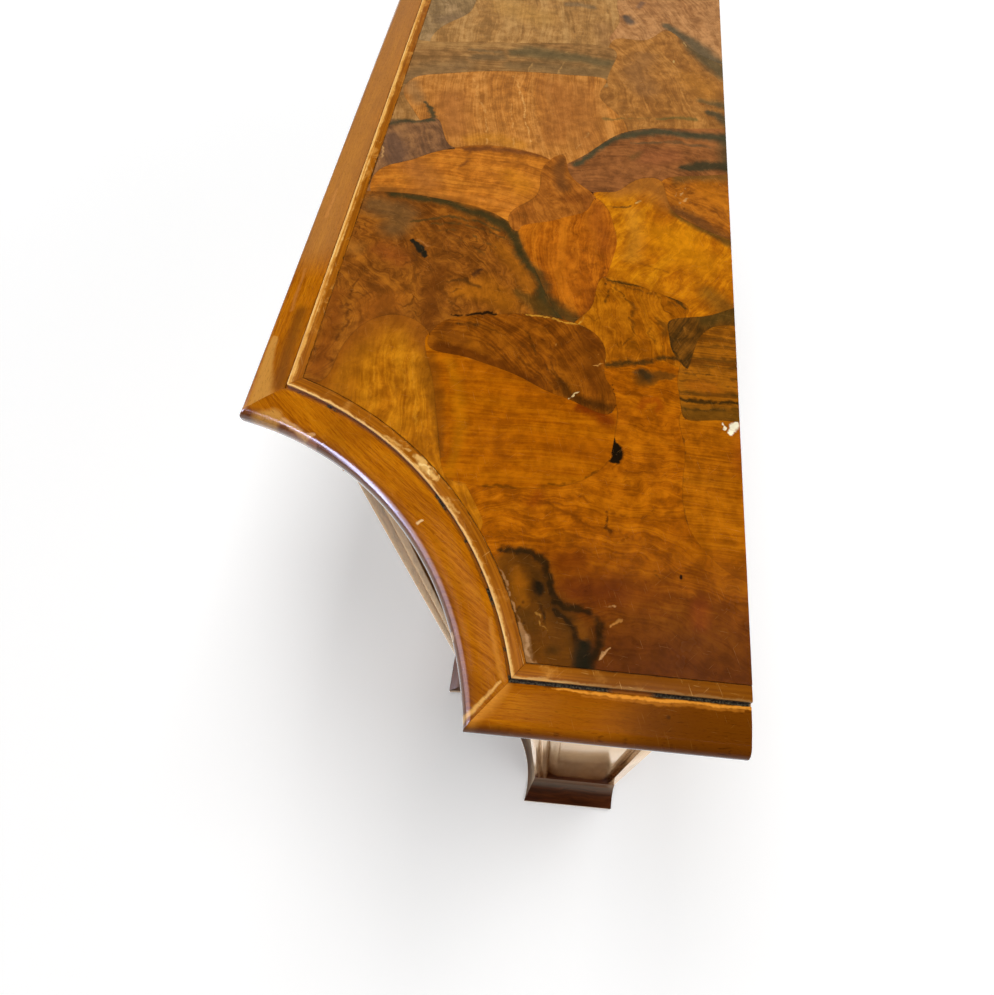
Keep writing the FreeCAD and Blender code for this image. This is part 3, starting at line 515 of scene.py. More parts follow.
LEAVES = {
    "end_leaf": dict(
        at=(120, 75), tones=[(136, 68, 3), (164, 86, 4), (182, 102, 7)],
        turn=84, bend=260, line=4, wander=22, curl=0.10, cloud=0.35, vein=0.25, marks=[
            ([(34, -20, 72), (38, 50, 74), (46, 110, 60)], (84, 38, 7), 0.9, 0.92),
            ([(84, 34, 6), (97, 34, 6)], (122, 50, 14), 0.9, 0.5),
            ([(100, 70, 10), (110, 100, 12), (120, 140, 10)], (120, 56, 4), 0.9, 0.6),
            ([(99, 124, 9), (100, 107, 10), (99, 94, 9)], (98, 42, 7), 0.9, 0.8),
            ([(118, 132, 7), (122, 122, 6)], (116, 52, 5), 0.9, 0.7),
            ([(114, 166, 12), (100, 158, 17), (82, 152, 19), (64, 140, 20),
              (54, 128, 14)], (100, 56, 8), 0.35, 0.95),
            ([(122, 160, 6), (116, 150, 7), (103, 147, 7), (91, 143, 8), (82, 128, 8),
              (66, 116, 8)], (74, 43, 9), 0.9, 0.8),
            ([(107, 163, 4), (100, 161, 5)], (146, 82, 8), 0.9, 0.75),
            ([(92, 159, 4), (87, 158, 3.5)], (142, 80, 8), 0.9, 0.65),
            ([(78, 156, 5), (70, 150, 4)], (88, 52, 9), 0.9, 0.7),
            ([(76, 117, 4.5), (68, 116, 4.5)], (124, 68, 10), 0.8, 0.75),
            ([(124, 176, 2.4), (124, 169, 3), (125, 161, 3), (124, 153, 3), (120, 146, 3), (112, 143, 3),
              (100, 140, 2.8), (89, 136, 2.8), (86, 129, 2.5), (88, 119, 3), (85, 111, 3), (77, 106, 2.8),
              (65, 105, 2.8), (54, 107, 3.2), (46, 111, 4)], (40, 26, 8), 0.65, 0.92),
            ([(101, 149, 3.2), (97, 148, 3.6)], (28, 21, 10), 0.7, 0.95),
            ([(95, 149, 1.5), (82, 146, 1.7), (73, 140, 1.3)], (50, 31, 8), 0.8, 0.85),
            ([(88, 158, 1.2), (80, 160, 1.2), (72, 156, 1.0)], (58, 35, 8), 0.8, 0.7),
            ([(82, 135, 2), (78, 126, 2.4), (73, 122, 2.2), (64, 120, 2),
              (62, 116, 2)], (42, 27, 9), 0.6, 0.9),
            ([(60, 115, 5), (54, 115, 6.5), (45, 113, 6)], (32, 28, 16), 0.6, 0.95),
            ([(56, 136, 4)], (64, 39, 8), 0.9, 0.75),
            ([(81, 149, 0.5), (75, 146, 0.6), (71, 144, 0.6), (68, 136, 0.4)], (176, 122, 48), 0.8, 0.8),
            ([(112, 178, 0.6), (104, 172, 1.0), (96, 168, 1.2), (85, 163.5, 1.2), (75, 160, 1.4),
              (64, 157, 2.6), (58, 154, 3.4), (51, 152, 3.4), (46, 148, 2.8),
              (44, 141, 1.2)], (160, 114, 68), 0.5, 0.85),
            ([(64, 156, 0.9), (56, 152, 1.2), (50, 150, 1.0), (46, 145, 0.8)], (196, 150, 104), 0.6, 0.7),
            ([(90, 98, 0.7), (91, 92, 0.8)], (196, 140, 76), 0.6, 0.8),
            ([(75, 100, 0.6), (79, 92, 0.9), (83, 86, 0.6)], (182, 122, 50), 0.8, 0.8),
            ([(52, 103, 0.6), (55, 102, 0.8), (58, 99, 0.5)], (188, 138, 82), 0.7, 0.85),
            ([(146, 99, 1), (150, 104, 1.4), (160, 103, 1), (171, 98, 0.8)], (84, 42, 5), 0.7, 0.85),
            ([(162, 74, 1), (160, 94, 1.1), (168, 112, 1.2), (178, 130, 1.2)], (116, 56, 4), 0.8, 0.7),
            ([(148, 108, 1), (157, 130, 1.2), (164, 150, 1.2), (170, 166, 1)], (118, 58, 4), 0.8, 0.65),
            ([(138, 112, 1), (146, 136, 1.2), (152, 160, 1.2), (160, 188, 1)], (126, 62, 4), 0.8, 0.6),
            ([(126, 104, 1), (134, 130, 1.2), (140, 166, 1.2)], (120, 58, 4), 0.8, 0.6),
            ([(164, 160, 5), (172, 156, 4)], (140, 62, 4), 0.9, 0.6),
            ([(102, 62, 0.9), (112, 64, 1.0), (121, 67, 0.8)], UMBER, 0.7, 0.7),
            ([(117, 51, 1.7)], BLACK, 0.4, 1.0),
            ([(168, 110, 0.9), (171, 107, 0.8)], CREAM, 0.5, 0.9),
            ([(208, 104, 2.2), (211, 98, 4.2), (219, 97, 4.6), (228, 100, 2.6), (240, 102, 1.4),
              (262, 103.5, 1.2), (282, 107, 1)], BLACK, 0.35, 1.0),
            ([(260, 68, 3), (266, 64, 3), (272, 69, 3), (271, 78, 3),
              (264, 81, 3)], (142, 62, 5), 0.8, 0.7),
            ([(299, 54, 2.5), (296, 68, 5), (293, 80, 8)], (104, 60, 13), 0.4, 0.9),
            ([(295, 79, 5), (300, 84, 4)], (56, 42, 20), 0.6, 0.9),
            (DARK_VEIN, (54, 40, 14), 0.8, 0.85),
        ]),
    "long_gold_leaf": dict(
        at=(180, 20), tones=[(138, 72, 4), (162, 87, 5), (176, 100, 8)],
        turn=88, bend=1500, line=3, wander=4, curl=0.0, cloud=0.25, vein=0.0, marks=[
            ([(112, -10, 14), (128, 20, 12)], (124, 62, 6), 0.9, 0.7),
            ([(215, -4, 9), (256, -4, 9)], (146, 70, 12), 0.9, 0.6),
            ([(160, 45, 1.0), (178, 48, 1.2), (210, 47, 0.8), (240, 46, 0.8)], UMBER, 0.7, 0.6),
            ([(247, 8, 2.6), (252, 5, 3.0), (256, 2, 2.6)], (250, 240, 208), 0.35, 1.0),
            ([(249, 13, 1.3), (254, 13, 1.0)], (250, 236, 200), 0.35, 0.95),
        ]),
    "striped_leaf": dict(
        at=(280, 25), tones=[(112, 62, 10), (142, 82, 13), (162, 94, 14)],
        turn=90, bend=900, line=3, wander=4, curl=0.0, cloud=0.3, vein=0.0, marks=[
            ([(264, -5, 8), (264, 54, 8)], (100, 64, 14), 0.8, 0.8),
            ([(269, -5, 1.5), (268, 50, 1.5)], (72, 48, 13), 0.8, 0.8),
            ([(276, -5, 1.8), (277, 52, 1.8)], (48, 34, 10), 0.7, 0.9),
            ([(285, -5, 2.4), (284, 52, 2.0)], (84, 54, 13), 0.8, 0.8),
            ([(295, -5, 1.2), (296, 50, 1.2)], (92, 56, 13), 0.8, 0.7),
            ([(303, -5, 1.2), (304, 46, 1.2)], (86, 52, 13), 0.8, 0.7),
            ([(314, -5, 1.6), (316, 42, 1.6)], (92, 56, 13), 0.8, 0.7),
            ([(322, -5, 2.2), (324, 40, 1.8)], (88, 54, 13), 0.8, 0.75),
            ([(337, -5, 1.4), (335, 38, 1.4)], (96, 58, 13), 0.8, 0.7),
            ([(347, -5, 1.6), (343, 34, 1.4)], (96, 58, 13), 0.8, 0.7),
            ([(290, 20, 6), (292, 40, 5)], (160, 86, 12), 0.9, 0.6),
        ]),
    "dart_leaf": dict(
        at=(350, 45), tones=[(72, 46, 14), (100, 60, 15), (126, 76, 18)],
        turn=-24, bend=200, line=4, wander=8, curl=0.0, cloud=0.4, vein=0.2, marks=[
            ([(366, 26, 7), (374, 6, 8), (378, -10, 9)], (84, 60, 20), 0.9, 0.8),
            ([(312, 46, 1.2), (330, 57, 1.5), (346, 60, 1.5), (360, 61, 2)], (50, 36, 12), 0.8, 0.8),
            ([(338, 52, 1.0), (346, 46, 1.0), (355, 44, 1.0)], (146, 90, 26), 0.8, 0.7),
        ]),
    "cracked_gold_leaf": dict(
        at=(350, 85), tones=[(136, 72, 5), (160, 88, 7), (180, 106, 11)],
        turn=12, bend=300, line=4, wander=26, curl=0.10, cloud=0.4, vein=0.45, marks=[
            (DARK_VEIN, (54, 40, 14), 0.8, 0.85),
            ([(378, 42, 1.5), (384, 48, 1.6), (392, 62, 1.8), (398, 82, 1.8), (402, 100, 1.8),
              (405, 116, 1.6)], (66, 44, 12), 0.8, 0.9),
            ([(381, 52, 1.0), (389, 70, 1.0), (395, 92, 1.0), (402, 112, 0.8)], (110, 64, 12), 0.8, 0.7),
            ([(345, 62, 3), (353, 60, 3.5), (363, 68, 2)], (106, 62, 12), 0.9, 0.8),
            ([(326, 98, 1.0), (340, 90, 1.3), (352, 90, 1.2), (358, 95, 0.9)], (100, 56, 9), 0.8, 0.75),
            ([(360, 92, 1.5), (368, 88, 2.0), (376, 91, 1.7), (381, 98, 1.0)], (100, 56, 9), 0.8, 0.75),
            ([(384, 100, 1.0), (392, 106, 1.1), (399, 112, 1.0)], (96, 54, 9), 0.8, 0.7),
            ([(378, 118, 1.4), (390, 116, 1.4), (399, 119, 1.0)], (78, 44, 9), 0.8, 0.8),
            ([(332, 70, 1.0), (344, 76, 1.0), (352, 74, 1.0)], (116, 66, 10), 0.8, 0.6),
            ([(304, 115, 1.0), (321, 115.5, 1.0), (334, 123, 1.1),
              (343, 136, 1.1)], (206, 150, 50), 0.6, 0.8),
            ([(345, 138, 1.0), (352, 134, 0.9), (360, 131, 0.7)], (206, 150, 50), 0.6, 0.8),
        ]),
    "yellow_leaf": dict(
        at=(440, 60), tones=[(164, 88, 8), (186, 108, 9), (202, 126, 13)],
        turn=-32, bend=900, line=7, wander=22, curl=0.15, cloud=0.35, vein=0.15, marks=[
            ([(366, -8, 12), (384, 10, 11), (399, 22, 8)], (118, 76, 20), 0.9, 0.75),
            ([(380, 52, 7), (396, 84, 7), (408, 112, 6)], (158, 88, 8), 0.9, 0.6),
            ([(440, 30, 16), (462, 46, 18), (470, 66, 16)], (204, 126, 10), 0.9, 0.7),
            ([(436, 94, 8), (470, 92, 9), (498, 96, 7)], (204, 136, 36), 0.9, 0.45),
            ([(464, -10, 5), (478, 13, 5), (489, 33, 5), (503, 53, 5),
              (520, 62, 3)], (84, 60, 22), 0.8, 0.85),
            ([(420, 60, 0.9), (427, 88, 0.9), (430, 108, 0.9)], (146, 84, 14), 0.8, 0.6),
            ([(503, 117, 1.0), (504, 105, 1.2), (510, 96, 1.2), (517, 90, 1.0)], (106, 66, 20), 0.8, 0.85),
            ([(513, 93, 1.1), (518, 88, 0.9)], (226, 180, 100), 0.6, 0.8),
            ([(407, 121, 1.0), (430, 115, 0.9), (455, 112, 0.9),
              (480, 118, 0.9)], (210, 150, 50), 0.7, 0.6),
            ([(524, 62, 15), (546, 82, 18), (532, 112, 14)], (156, 94, 34), 0.9, 0.85),
        ]),
    "red_round_leaf": dict(
        at=(420, 150), tones=[(140, 70, 10), (170, 89, 13), (188, 106, 19)],
        turn=8, bend=-240, line=4, wander=16, curl=0.15, cloud=0.4, vein=0.2, marks=[
            ([(355, 132, 6), (372, 128, 6), (388, 128, 5)], (120, 58, 12), 0.9, 0.7),
            ([(348, 140, 6), (356, 150, 8), (364, 164, 8), (370, 174, 6)], (66, 50, 20), 0.8, 0.9),
            ([(362, 132, 1.0), (380, 126, 1.2), (400, 124, 1.2), (420, 118, 1.0)], (104, 52, 11), 0.8, 0.7),
            ([(376, 140, 1.0), (400, 132, 1.0), (440, 130, 1.0)], (136, 66, 12), 0.8, 0.6),
            ([(384, 154, 8), (410, 158, 10), (440, 166, 8)], (184, 100, 16), 0.9, 0.5),
            ([(448, 122, 10), (474, 130, 10), (496, 132, 8)], (150, 76, 18), 0.9, 0.7),
            (DARK_RIVER[1:9], SLATE, 0.9, 0.8),
        ]),
    "shadow_leaf": dict(
        at=(540, 175), tones=[(134, 74, 22), (160, 90, 27), (178, 106, 34)],
        turn=40, bend=200, line=4, wander=18, curl=0.15, cloud=0.4, vein=0.2, marks=[
            ([(498, 142, 7), (510, 146, 8), (506, 162, 6)], (126, 66, 20), 0.9, 0.7),
            ([(524, 168, 6), (545, 172, 7), (566, 172, 6)], (108, 64, 28), 0.8, 0.8),
            ([(556, 154, 4), (566, 150, 3)], (84, 70, 36), 0.8, 0.8),
        ]),
    "oval_leaf": dict(
        at=(215, 170), tones=[(148, 74, 2), (163, 85, 2), (174, 96, 4)],
        turn=92, bend=900, line=5, wander=6, curl=0.1, cloud=0.2, vein=0.0, marks=[
            ([(174, 204, 1.6), (176, 164, 1.3), (184, 132, 1.2), (198, 113, 0.9)], (104, 56, 4), 0.8, 0.8),
            ([(246, 108, 7), (254, 118, 6), (258, 130, 4)], (116, 44, 4), 0.8, 0.85),
            ([(216, 110, 6), (222, 130, 5), (222, 180, 4)], (170, 90, 3), 0.9, 0.5),
            ([(262, 150, 3), (276, 172, 3.5), (287, 198, 4), (293, 222, 4)], (140, 72, 3), 0.9, 0.6),
            ([(180, 226, 4), (215, 222, 4), (260, 230, 4), (290, 244, 4)], (178, 104, 5), 0.9, 0.7),
            ([(196, 236, 2), (225, 240, 4), (252, 248, 6), (290, 260, 5)], (126, 68, 9), 0.9, 0.8),
        ]),
    "oval_cap_leaf": dict(
        at=(320, 160), tones=[(104, 52, 7), (132, 69, 9), (152, 84, 12)],
        turn=40, bend=130, line=4, wander=14, curl=0.1, cloud=0.35, vein=0.25, marks=[
            ([(258, 106, 3.5), (262, 128, 4.5), (268, 140, 4), (280, 150, 3)], (68, 36, 7), 0.9, 0.9),
            ([(280, 116, 7), (305, 122, 8), (328, 130, 6)], (104, 52, 8), 0.9, 0.7),
            ([(266, 158, 3), (280, 178, 4), (290, 200, 5), (297, 225, 6),
              (304, 252, 7)], (96, 46, 6), 0.9, 0.85),
            ([(270, 140, 1.3), (290, 156, 1.3), (316, 177, 1.3), (346, 193, 1.0)], (84, 44, 7), 0.8, 0.85),
            ([(272, 150, 1.0), (287, 166, 1.2), (301, 187, 1.2), (312, 212, 1.2)], (94, 48, 7), 0.8, 0.75),
            ([(284, 150, 1.0), (310, 160, 1.0), (340, 165, 0.9)], (94, 48, 8), 0.8, 0.7),
            ([(310, 178, 1.0), (324, 200, 1.2), (330, 222, 1.2)], (96, 50, 8), 0.8, 0.7),
            ([(330, 226, 2.6), (332, 242, 2.0)], (72, 40, 10), 0.8, 0.85),
            ([(312, 236, 5), (322, 252, 6)], (112, 58, 10), 0.9, 0.7),
            ([(345, 140, 1.1), (349.5, 160, 1.1), (349.5, 194, 1.0)], (200, 140, 44), 0.6, 0.85),
            ([(259, 152, 0.9), (264, 141, 0.9), (270, 133, 0.9)], CREAM, 0.6, 0.8),
            ([(284, 130, 0.7), (288, 121, 0.7)], (190, 130, 56), 0.6, 0.8),
            ([(302, 121, 0.7), (306, 115, 0.7)], (200, 140, 64), 0.6, 0.8),
            ([(309, 126, 0.7), (313, 119, 0.7)], (190, 130, 56), 0.6, 0.8),
            ([(303, 168, 0.8), (307, 160, 0.8)], (200, 140, 64), 0.6, 0.8),
            ([(313, 160, 0.7), (318, 156, 0.7)], (200, 140, 64), 0.6, 0.8),
            (KNOT_SLIT, BLACK, 0.5, 0.9),
        ]),
    "hollow_gold_leaf": dict(
        at=(230, 290), tones=[(156, 86, 8), (179, 106, 12), (194, 122, 18)],
        turn=12, bend=-500, line=5, wander=14, curl=0.15, cloud=0.3, vein=0.1, marks=[
            ([(205, 236, 3), (225, 239, 4), (252, 247, 6), (286, 259, 5),
              (310, 268, 5)], (122, 68, 10), 0.9, 0.85),
            ([(214, 257, 1.0), (255, 266, 1.0), (300, 276, 1.0),
              (330, 281, 0.8)], (206, 132, 26), 0.8, 0.7),
            ([(248, 272, 0.9), (290, 283, 0.9)], (206, 132, 26), 0.8, 0.6),
            ([(228, 300, 0.9), (270, 300, 0.9), (312, 307, 0.8)], (200, 126, 24), 0.8, 0.6),
            ([(222, 272, 1.2), (262, 282, 1.4), (304, 296, 1.2)], (146, 80, 10), 0.8, 0.6),
            ([(236, 314, 1.6), (276, 312, 2), (306, 318, 1.6)], (150, 86, 12), 0.8, 0.6),
            ([(238, 326, 12), (264, 330, 14), (298, 322, 16)], (152, 88, 14), 0.95, 0.85),
            ([(256, 342, 9), (284, 338, 10), (312, 330, 11)], (138, 74, 13), 0.9, 0.9),
            ([(281, 267, 5), (256, 254, 5), (234, 243, 4), (214, 235, 3)], (138, 78, 10), 0.9, 0.7),
            ([(318, 266, 18), (334, 286, 20), (332, 312, 20), (306, 338, 16)], (142, 78, 18), 0.9, 0.9),
        ]),
    "burr_leaf": dict(
        at=(390, 300), tones=[(108, 58, 14), (138, 77, 20), (160, 94, 24)],
        turn=50, bend=120, line=5, wander=36, curl=0.10, cloud=0.5, vein=0.55, marks=[
            ([(362, 204, 12), (374, 225, 14), (368, 246, 8)], (164, 94, 15), 0.8, 0.75),
            ([(384, 186, 8), (412, 204, 8), (432, 222, 6)], (160, 92, 18), 0.9, 0.7),
            ([(312, 264, 7), (340, 268, 9), (370, 272, 7), (392, 264, 5)], (108, 56, 13), 0.9, 0.75),
            ([(310, 310, 10), (340, 318, 12), (350, 300, 10)], (154, 84, 20), 0.9, 0.6),
            ([(400, 306, 9), (410, 322, 9)], (148, 76, 24), 0.9, 0.6),
            ([(440, 318, 13), (460, 316, 14), (468, 342, 13)], (112, 78, 40), 0.8, 0.8),
            ([(408, 346, 8), (410, 360, 8)], (158, 98, 34), 0.9, 0.7),
            ([(262, 346, 6), (300, 346, 6), (350, 350, 6)], (136, 70, 16), 0.9, 0.6),
            (DARK_RIVER, SLATE, 0.8, 0.95),
            ([(356, 168, 6), (366, 182, 6), (376, 196, 4)], (92, 62, 20), 0.9, 0.8),
            ([(452, 222, 1.5), (461, 245, 1.8), (463, 266, 1.8), (458, 286, 1.8),
              (452, 306, 1.5)], (72, 56, 24), 0.8, 0.8),
            ([(440, 214, 1.0), (451, 236, 1.3), (455, 260, 1.3), (450, 286, 1.2)], (88, 62, 24), 0.8, 0.7),
            ([(428, 222, 1.0), (442, 244, 1.2), (446, 265, 1.2), (440, 286, 1.0)], (96, 64, 24), 0.8, 0.65),
            ([(418, 232, 1.0), (430, 250, 1.1), (434, 268, 1.0)], (104, 66, 22), 0.8, 0.6),
            ([(378, 230, 2.0), (384, 245, 2.2), (378, 260, 1.6)], (84, 50, 15), 0.8, 0.75),
            ([(391, 237, 2.0), (397, 232, 2.0)], (66, 38, 18), 0.8, 0.8),
            ([(358, 220, 1.0), (366, 212, 1.2), (380, 214, 1.0), (384, 224, 1.0)], (110, 62, 12), 0.8, 0.7),
            ([(352, 250, 1.2), (364, 256, 1.4), (372, 246, 1.2)], (96, 54, 14), 0.8, 0.7),
            ([(409, 284, 2.0), (416, 290, 4.5), (424, 299, 2.0)], (38, 32, 20), 0.4, 1.0),
            ([(420, 283, 1.0), (427, 294, 1.0)], (168, 106, 48), 0.7, 0.7),
            ([(396, 300, 1.2), (402, 290, 1.2), (410, 296, 1.0)], (96, 52, 16), 0.8, 0.7),
            (KNOT_SLIT, BLACK, 0.5, 0.95),
            ([(300, 338, 1.3), (320, 334, 1.3), (350, 340, 1.3), (372, 336, 1.0)], (96, 50, 13), 0.8, 0.75),
            ([(288, 352, 2.2), (300, 357, 2.2)], (84, 44, 12), 0.8, 0.8),
            ([(316, 291, 1.4), (327, 285, 1.4), (331, 292, 1.0)], (96, 52, 13), 0.8, 0.75),
            ([(360, 296, 1.2), (378, 290, 1.2), (392, 282, 1.0)], (108, 60, 16), 0.8, 0.6),
            ([(330, 346, 1.2), (346, 330, 1.2), (362, 318, 1.2)], (112, 60, 16), 0.8, 0.6),
            ([(293, 344, 0.8), (297, 350, 0.8)], (220, 170, 110), 0.6, 0.9),
        ]),
    "orange_leaf": dict(
        at=(520, 250), tones=[(160, 90, 24), (187, 109, 31), (202, 124, 38)],
        turn=86, bend=420, line=4, wander=8, curl=0.3, cloud=0.3, vein=0.1, marks=[
            ([(472, 194, 3), (484, 212, 3.5), (491, 232, 3), (494, 260, 3),
              (493, 292, 3)], (208, 126, 42), 0.9, 0.75),
            ([(482, 262, 5), (488, 300, 6), (490, 340, 6)], (136, 82, 30), 0.9, 0.75),
            ([(516, 204, 9), (532, 222, 9)], (196, 120, 22), 0.9, 0.5),
            ([(510, 300, 14), (530, 316, 14)], (162, 98, 42), 0.9, 0.7),
            ([(508, 230, 1.2), (511, 275, 1.4), (508, 330, 1.2)], (156, 88, 26), 0.8, 0.6),
            ([(548, 196, 2), (553, 216, 2), (550, 242, 2)], (146, 82, 24), 0.8, 0.7),
            ([(530, 210, 1), (534, 250, 1.2), (530, 290, 1)], (160, 90, 26), 0.8, 0.6),
            ([(528, 274, 1.6), (545, 268, 1.6), (563, 268, 1.6)], (126, 70, 28), 0.8, 0.7),
            ([(568, 188, 3), (571, 215, 4), (571, 245, 4), (566, 272, 3)], (114, 64, 28), 0.8, 0.9),
        ]),
    "plum_leaf": dict(
        at=(560, 335), tones=[(108, 74, 48), (132, 90, 56), (150, 104, 62)],
        turn=30, bend=300, line=6, wander=16, curl=0.1, cloud=0.4, vein=0.1, marks=[
            ([(536, 334, 9), (552, 340, 12), (570, 348, 10)], (106, 76, 56), 0.7, 0.8),
            ([(528, 349, 0.8), (545, 352, 0.9), (557, 357, 0.8)], (200, 150, 92), 0.6, 0.8),
            ([(490, 350, 6), (512, 352, 5)], (160, 104, 54), 0.9, 0.6),
            ([(607, 313, 3), (604, 326, 3), (600, 340, 3.5), (594, 356, 4.5)], (64, 60, 40), 0.7, 0.9),
        ]),
    "brown_leaf": dict(
        at=(530, 25), tones=[(136, 74, 20), (166, 94, 22), (184, 108, 26)],
        turn=60, bend=200, line=5, wander=26, curl=0.10, cloud=0.45, vein=0.4, marks=[
            ([(476, 4, 6), (492, 30, 7), (508, 52, 6)], (106, 64, 28), 0.9, 0.85),
            ([(526, 8, 10), (546, 22, 10)], (186, 108, 18), 0.9, 0.6),
            ([(566, -4, 7), (562, 30, 6), (555, 52, 6)], (108, 76, 34), 0.9, 0.8),
            ([(520, 50, 0.9), (527, 43, 0.9)], (192, 142, 82), 0.6, 0.8),
            ([(530, 50, 0.9), (541, 45, 0.9)], (192, 142, 82), 0.6, 0.8),
            ([(522, 58, 0.8), (536, 54, 0.8)], (192, 142, 82), 0.6, 0.7),
            ([(510, 26, 1.2), (518, 34, 1.2)], (96, 56, 22), 0.8, 0.7),
        ]),
    "red_river_leaf": dict(
        at=(600, 60), tones=[(114, 68, 34), (138, 83, 41), (156, 96, 48)],
        turn=76, bend=260, line=6, wander=18, curl=0.1, cloud=0.4, vein=0.1, marks=[
            ([(592, 60, 11), (585, 84, 12)], (152, 88, 48), 0.9, 0.6),
            ([(586, -8, 14), (612, -4, 14), (634, -8, 12)], (76, 62, 36), 0.8, 0.9),
            ([(574, 48, 5), (578, 36, 7), (583, 20, 8), (586, -4, 9)], (60, 54, 34), 0.6, 0.95),
            ([(630, -8, 8), (632, 20, 7), (632, 50, 6), (630, 75, 6), (624, 98, 6), (612, 118, 5),
              (598, 130, 4), (582, 143, 4), (562, 158, 4)], (70, 66, 44), 0.8, 0.95),
            ([(615, 18, 2), (616, 50, 2.6), (612, 80, 2), (605, 102, 1.6)], (96, 74, 46), 0.8, 0.75),
            ([(584, 99, 5), (590, 92, 4)], (108, 74, 36), 0.8, 0.7),
        ]),
    "curly_leaf": dict(
        at=(640, 240), tones=[(158, 97, 40), (182, 115, 47), (198, 132, 62)],
        turn=9, bend=-600, line=3.2, wander=7, curl=0.15, cloud=0.25, vein=0.0, marks=[
            ([(582, 216, 8), (588, 240, 9), (582, 266, 8)], (190, 122, 34), 0.8, 0.6),
            ([(590, 206, 0.9), (622, 214, 1.0), (660, 224, 1.0),
              (700, 237, 0.8)], (218, 158, 86), 0.7, 0.75),
            ([(580, 222, 0.9), (610, 226, 0.9), (650, 234, 0.9)], (214, 152, 80), 0.7, 0.6),
            ([(576, 250, 0.9), (604, 256, 0.9), (644, 266, 0.9),
              (690, 282, 0.8)], (214, 152, 80), 0.7, 0.6),
            ([(586, 196, 0.9), (624, 204, 0.9), (680, 218, 0.9)], (152, 94, 38), 0.8, 0.6),
            ([(584, 236, 0.9), (630, 246, 0.9), (690, 264, 0.9)], (152, 94, 38), 0.8, 0.55),
            ([(585, 158, 0.8), (600, 152, 0.9), (615, 147, 0.8)], (216, 162, 92), 0.6, 0.8),
            ([(596, 150, 14), (640, 150, 16), (690, 160, 14)], (164, 102, 46), 0.9, 0.6),
            ([(604, 182, 14), (648, 178, 18), (690, 192, 16)], (162, 98, 42), 0.9, 0.75),
            ([(600, 290, 16), (646, 298, 16)], (166, 102, 46), 0.9, 0.8),
            (GREEN_LINE, (108, 90, 44), 0.8, 0.7),
            ([(607, 312, 3), (616, 314, 3), (626, 318, 2.5), (637, 326, 1.5)], (64, 62, 40), 0.7, 0.9),
            ([(640, 335, 8), (668, 346, 8)], (142, 104, 62), 0.9, 0.7),
        ]),
    "hook_leaf": dict(
        at=(622, 342), tones=[(138, 94, 46), (160, 112, 58), (176, 128, 72)],
        turn=20, bend=300, line=5, wander=12, curl=0.2, cloud=0.3, vein=0.1, marks=[
            ([(603, 322, 3), (601, 338, 3.5), (597, 356, 4)], (64, 60, 40), 0.7, 0.9),
        ]),
}
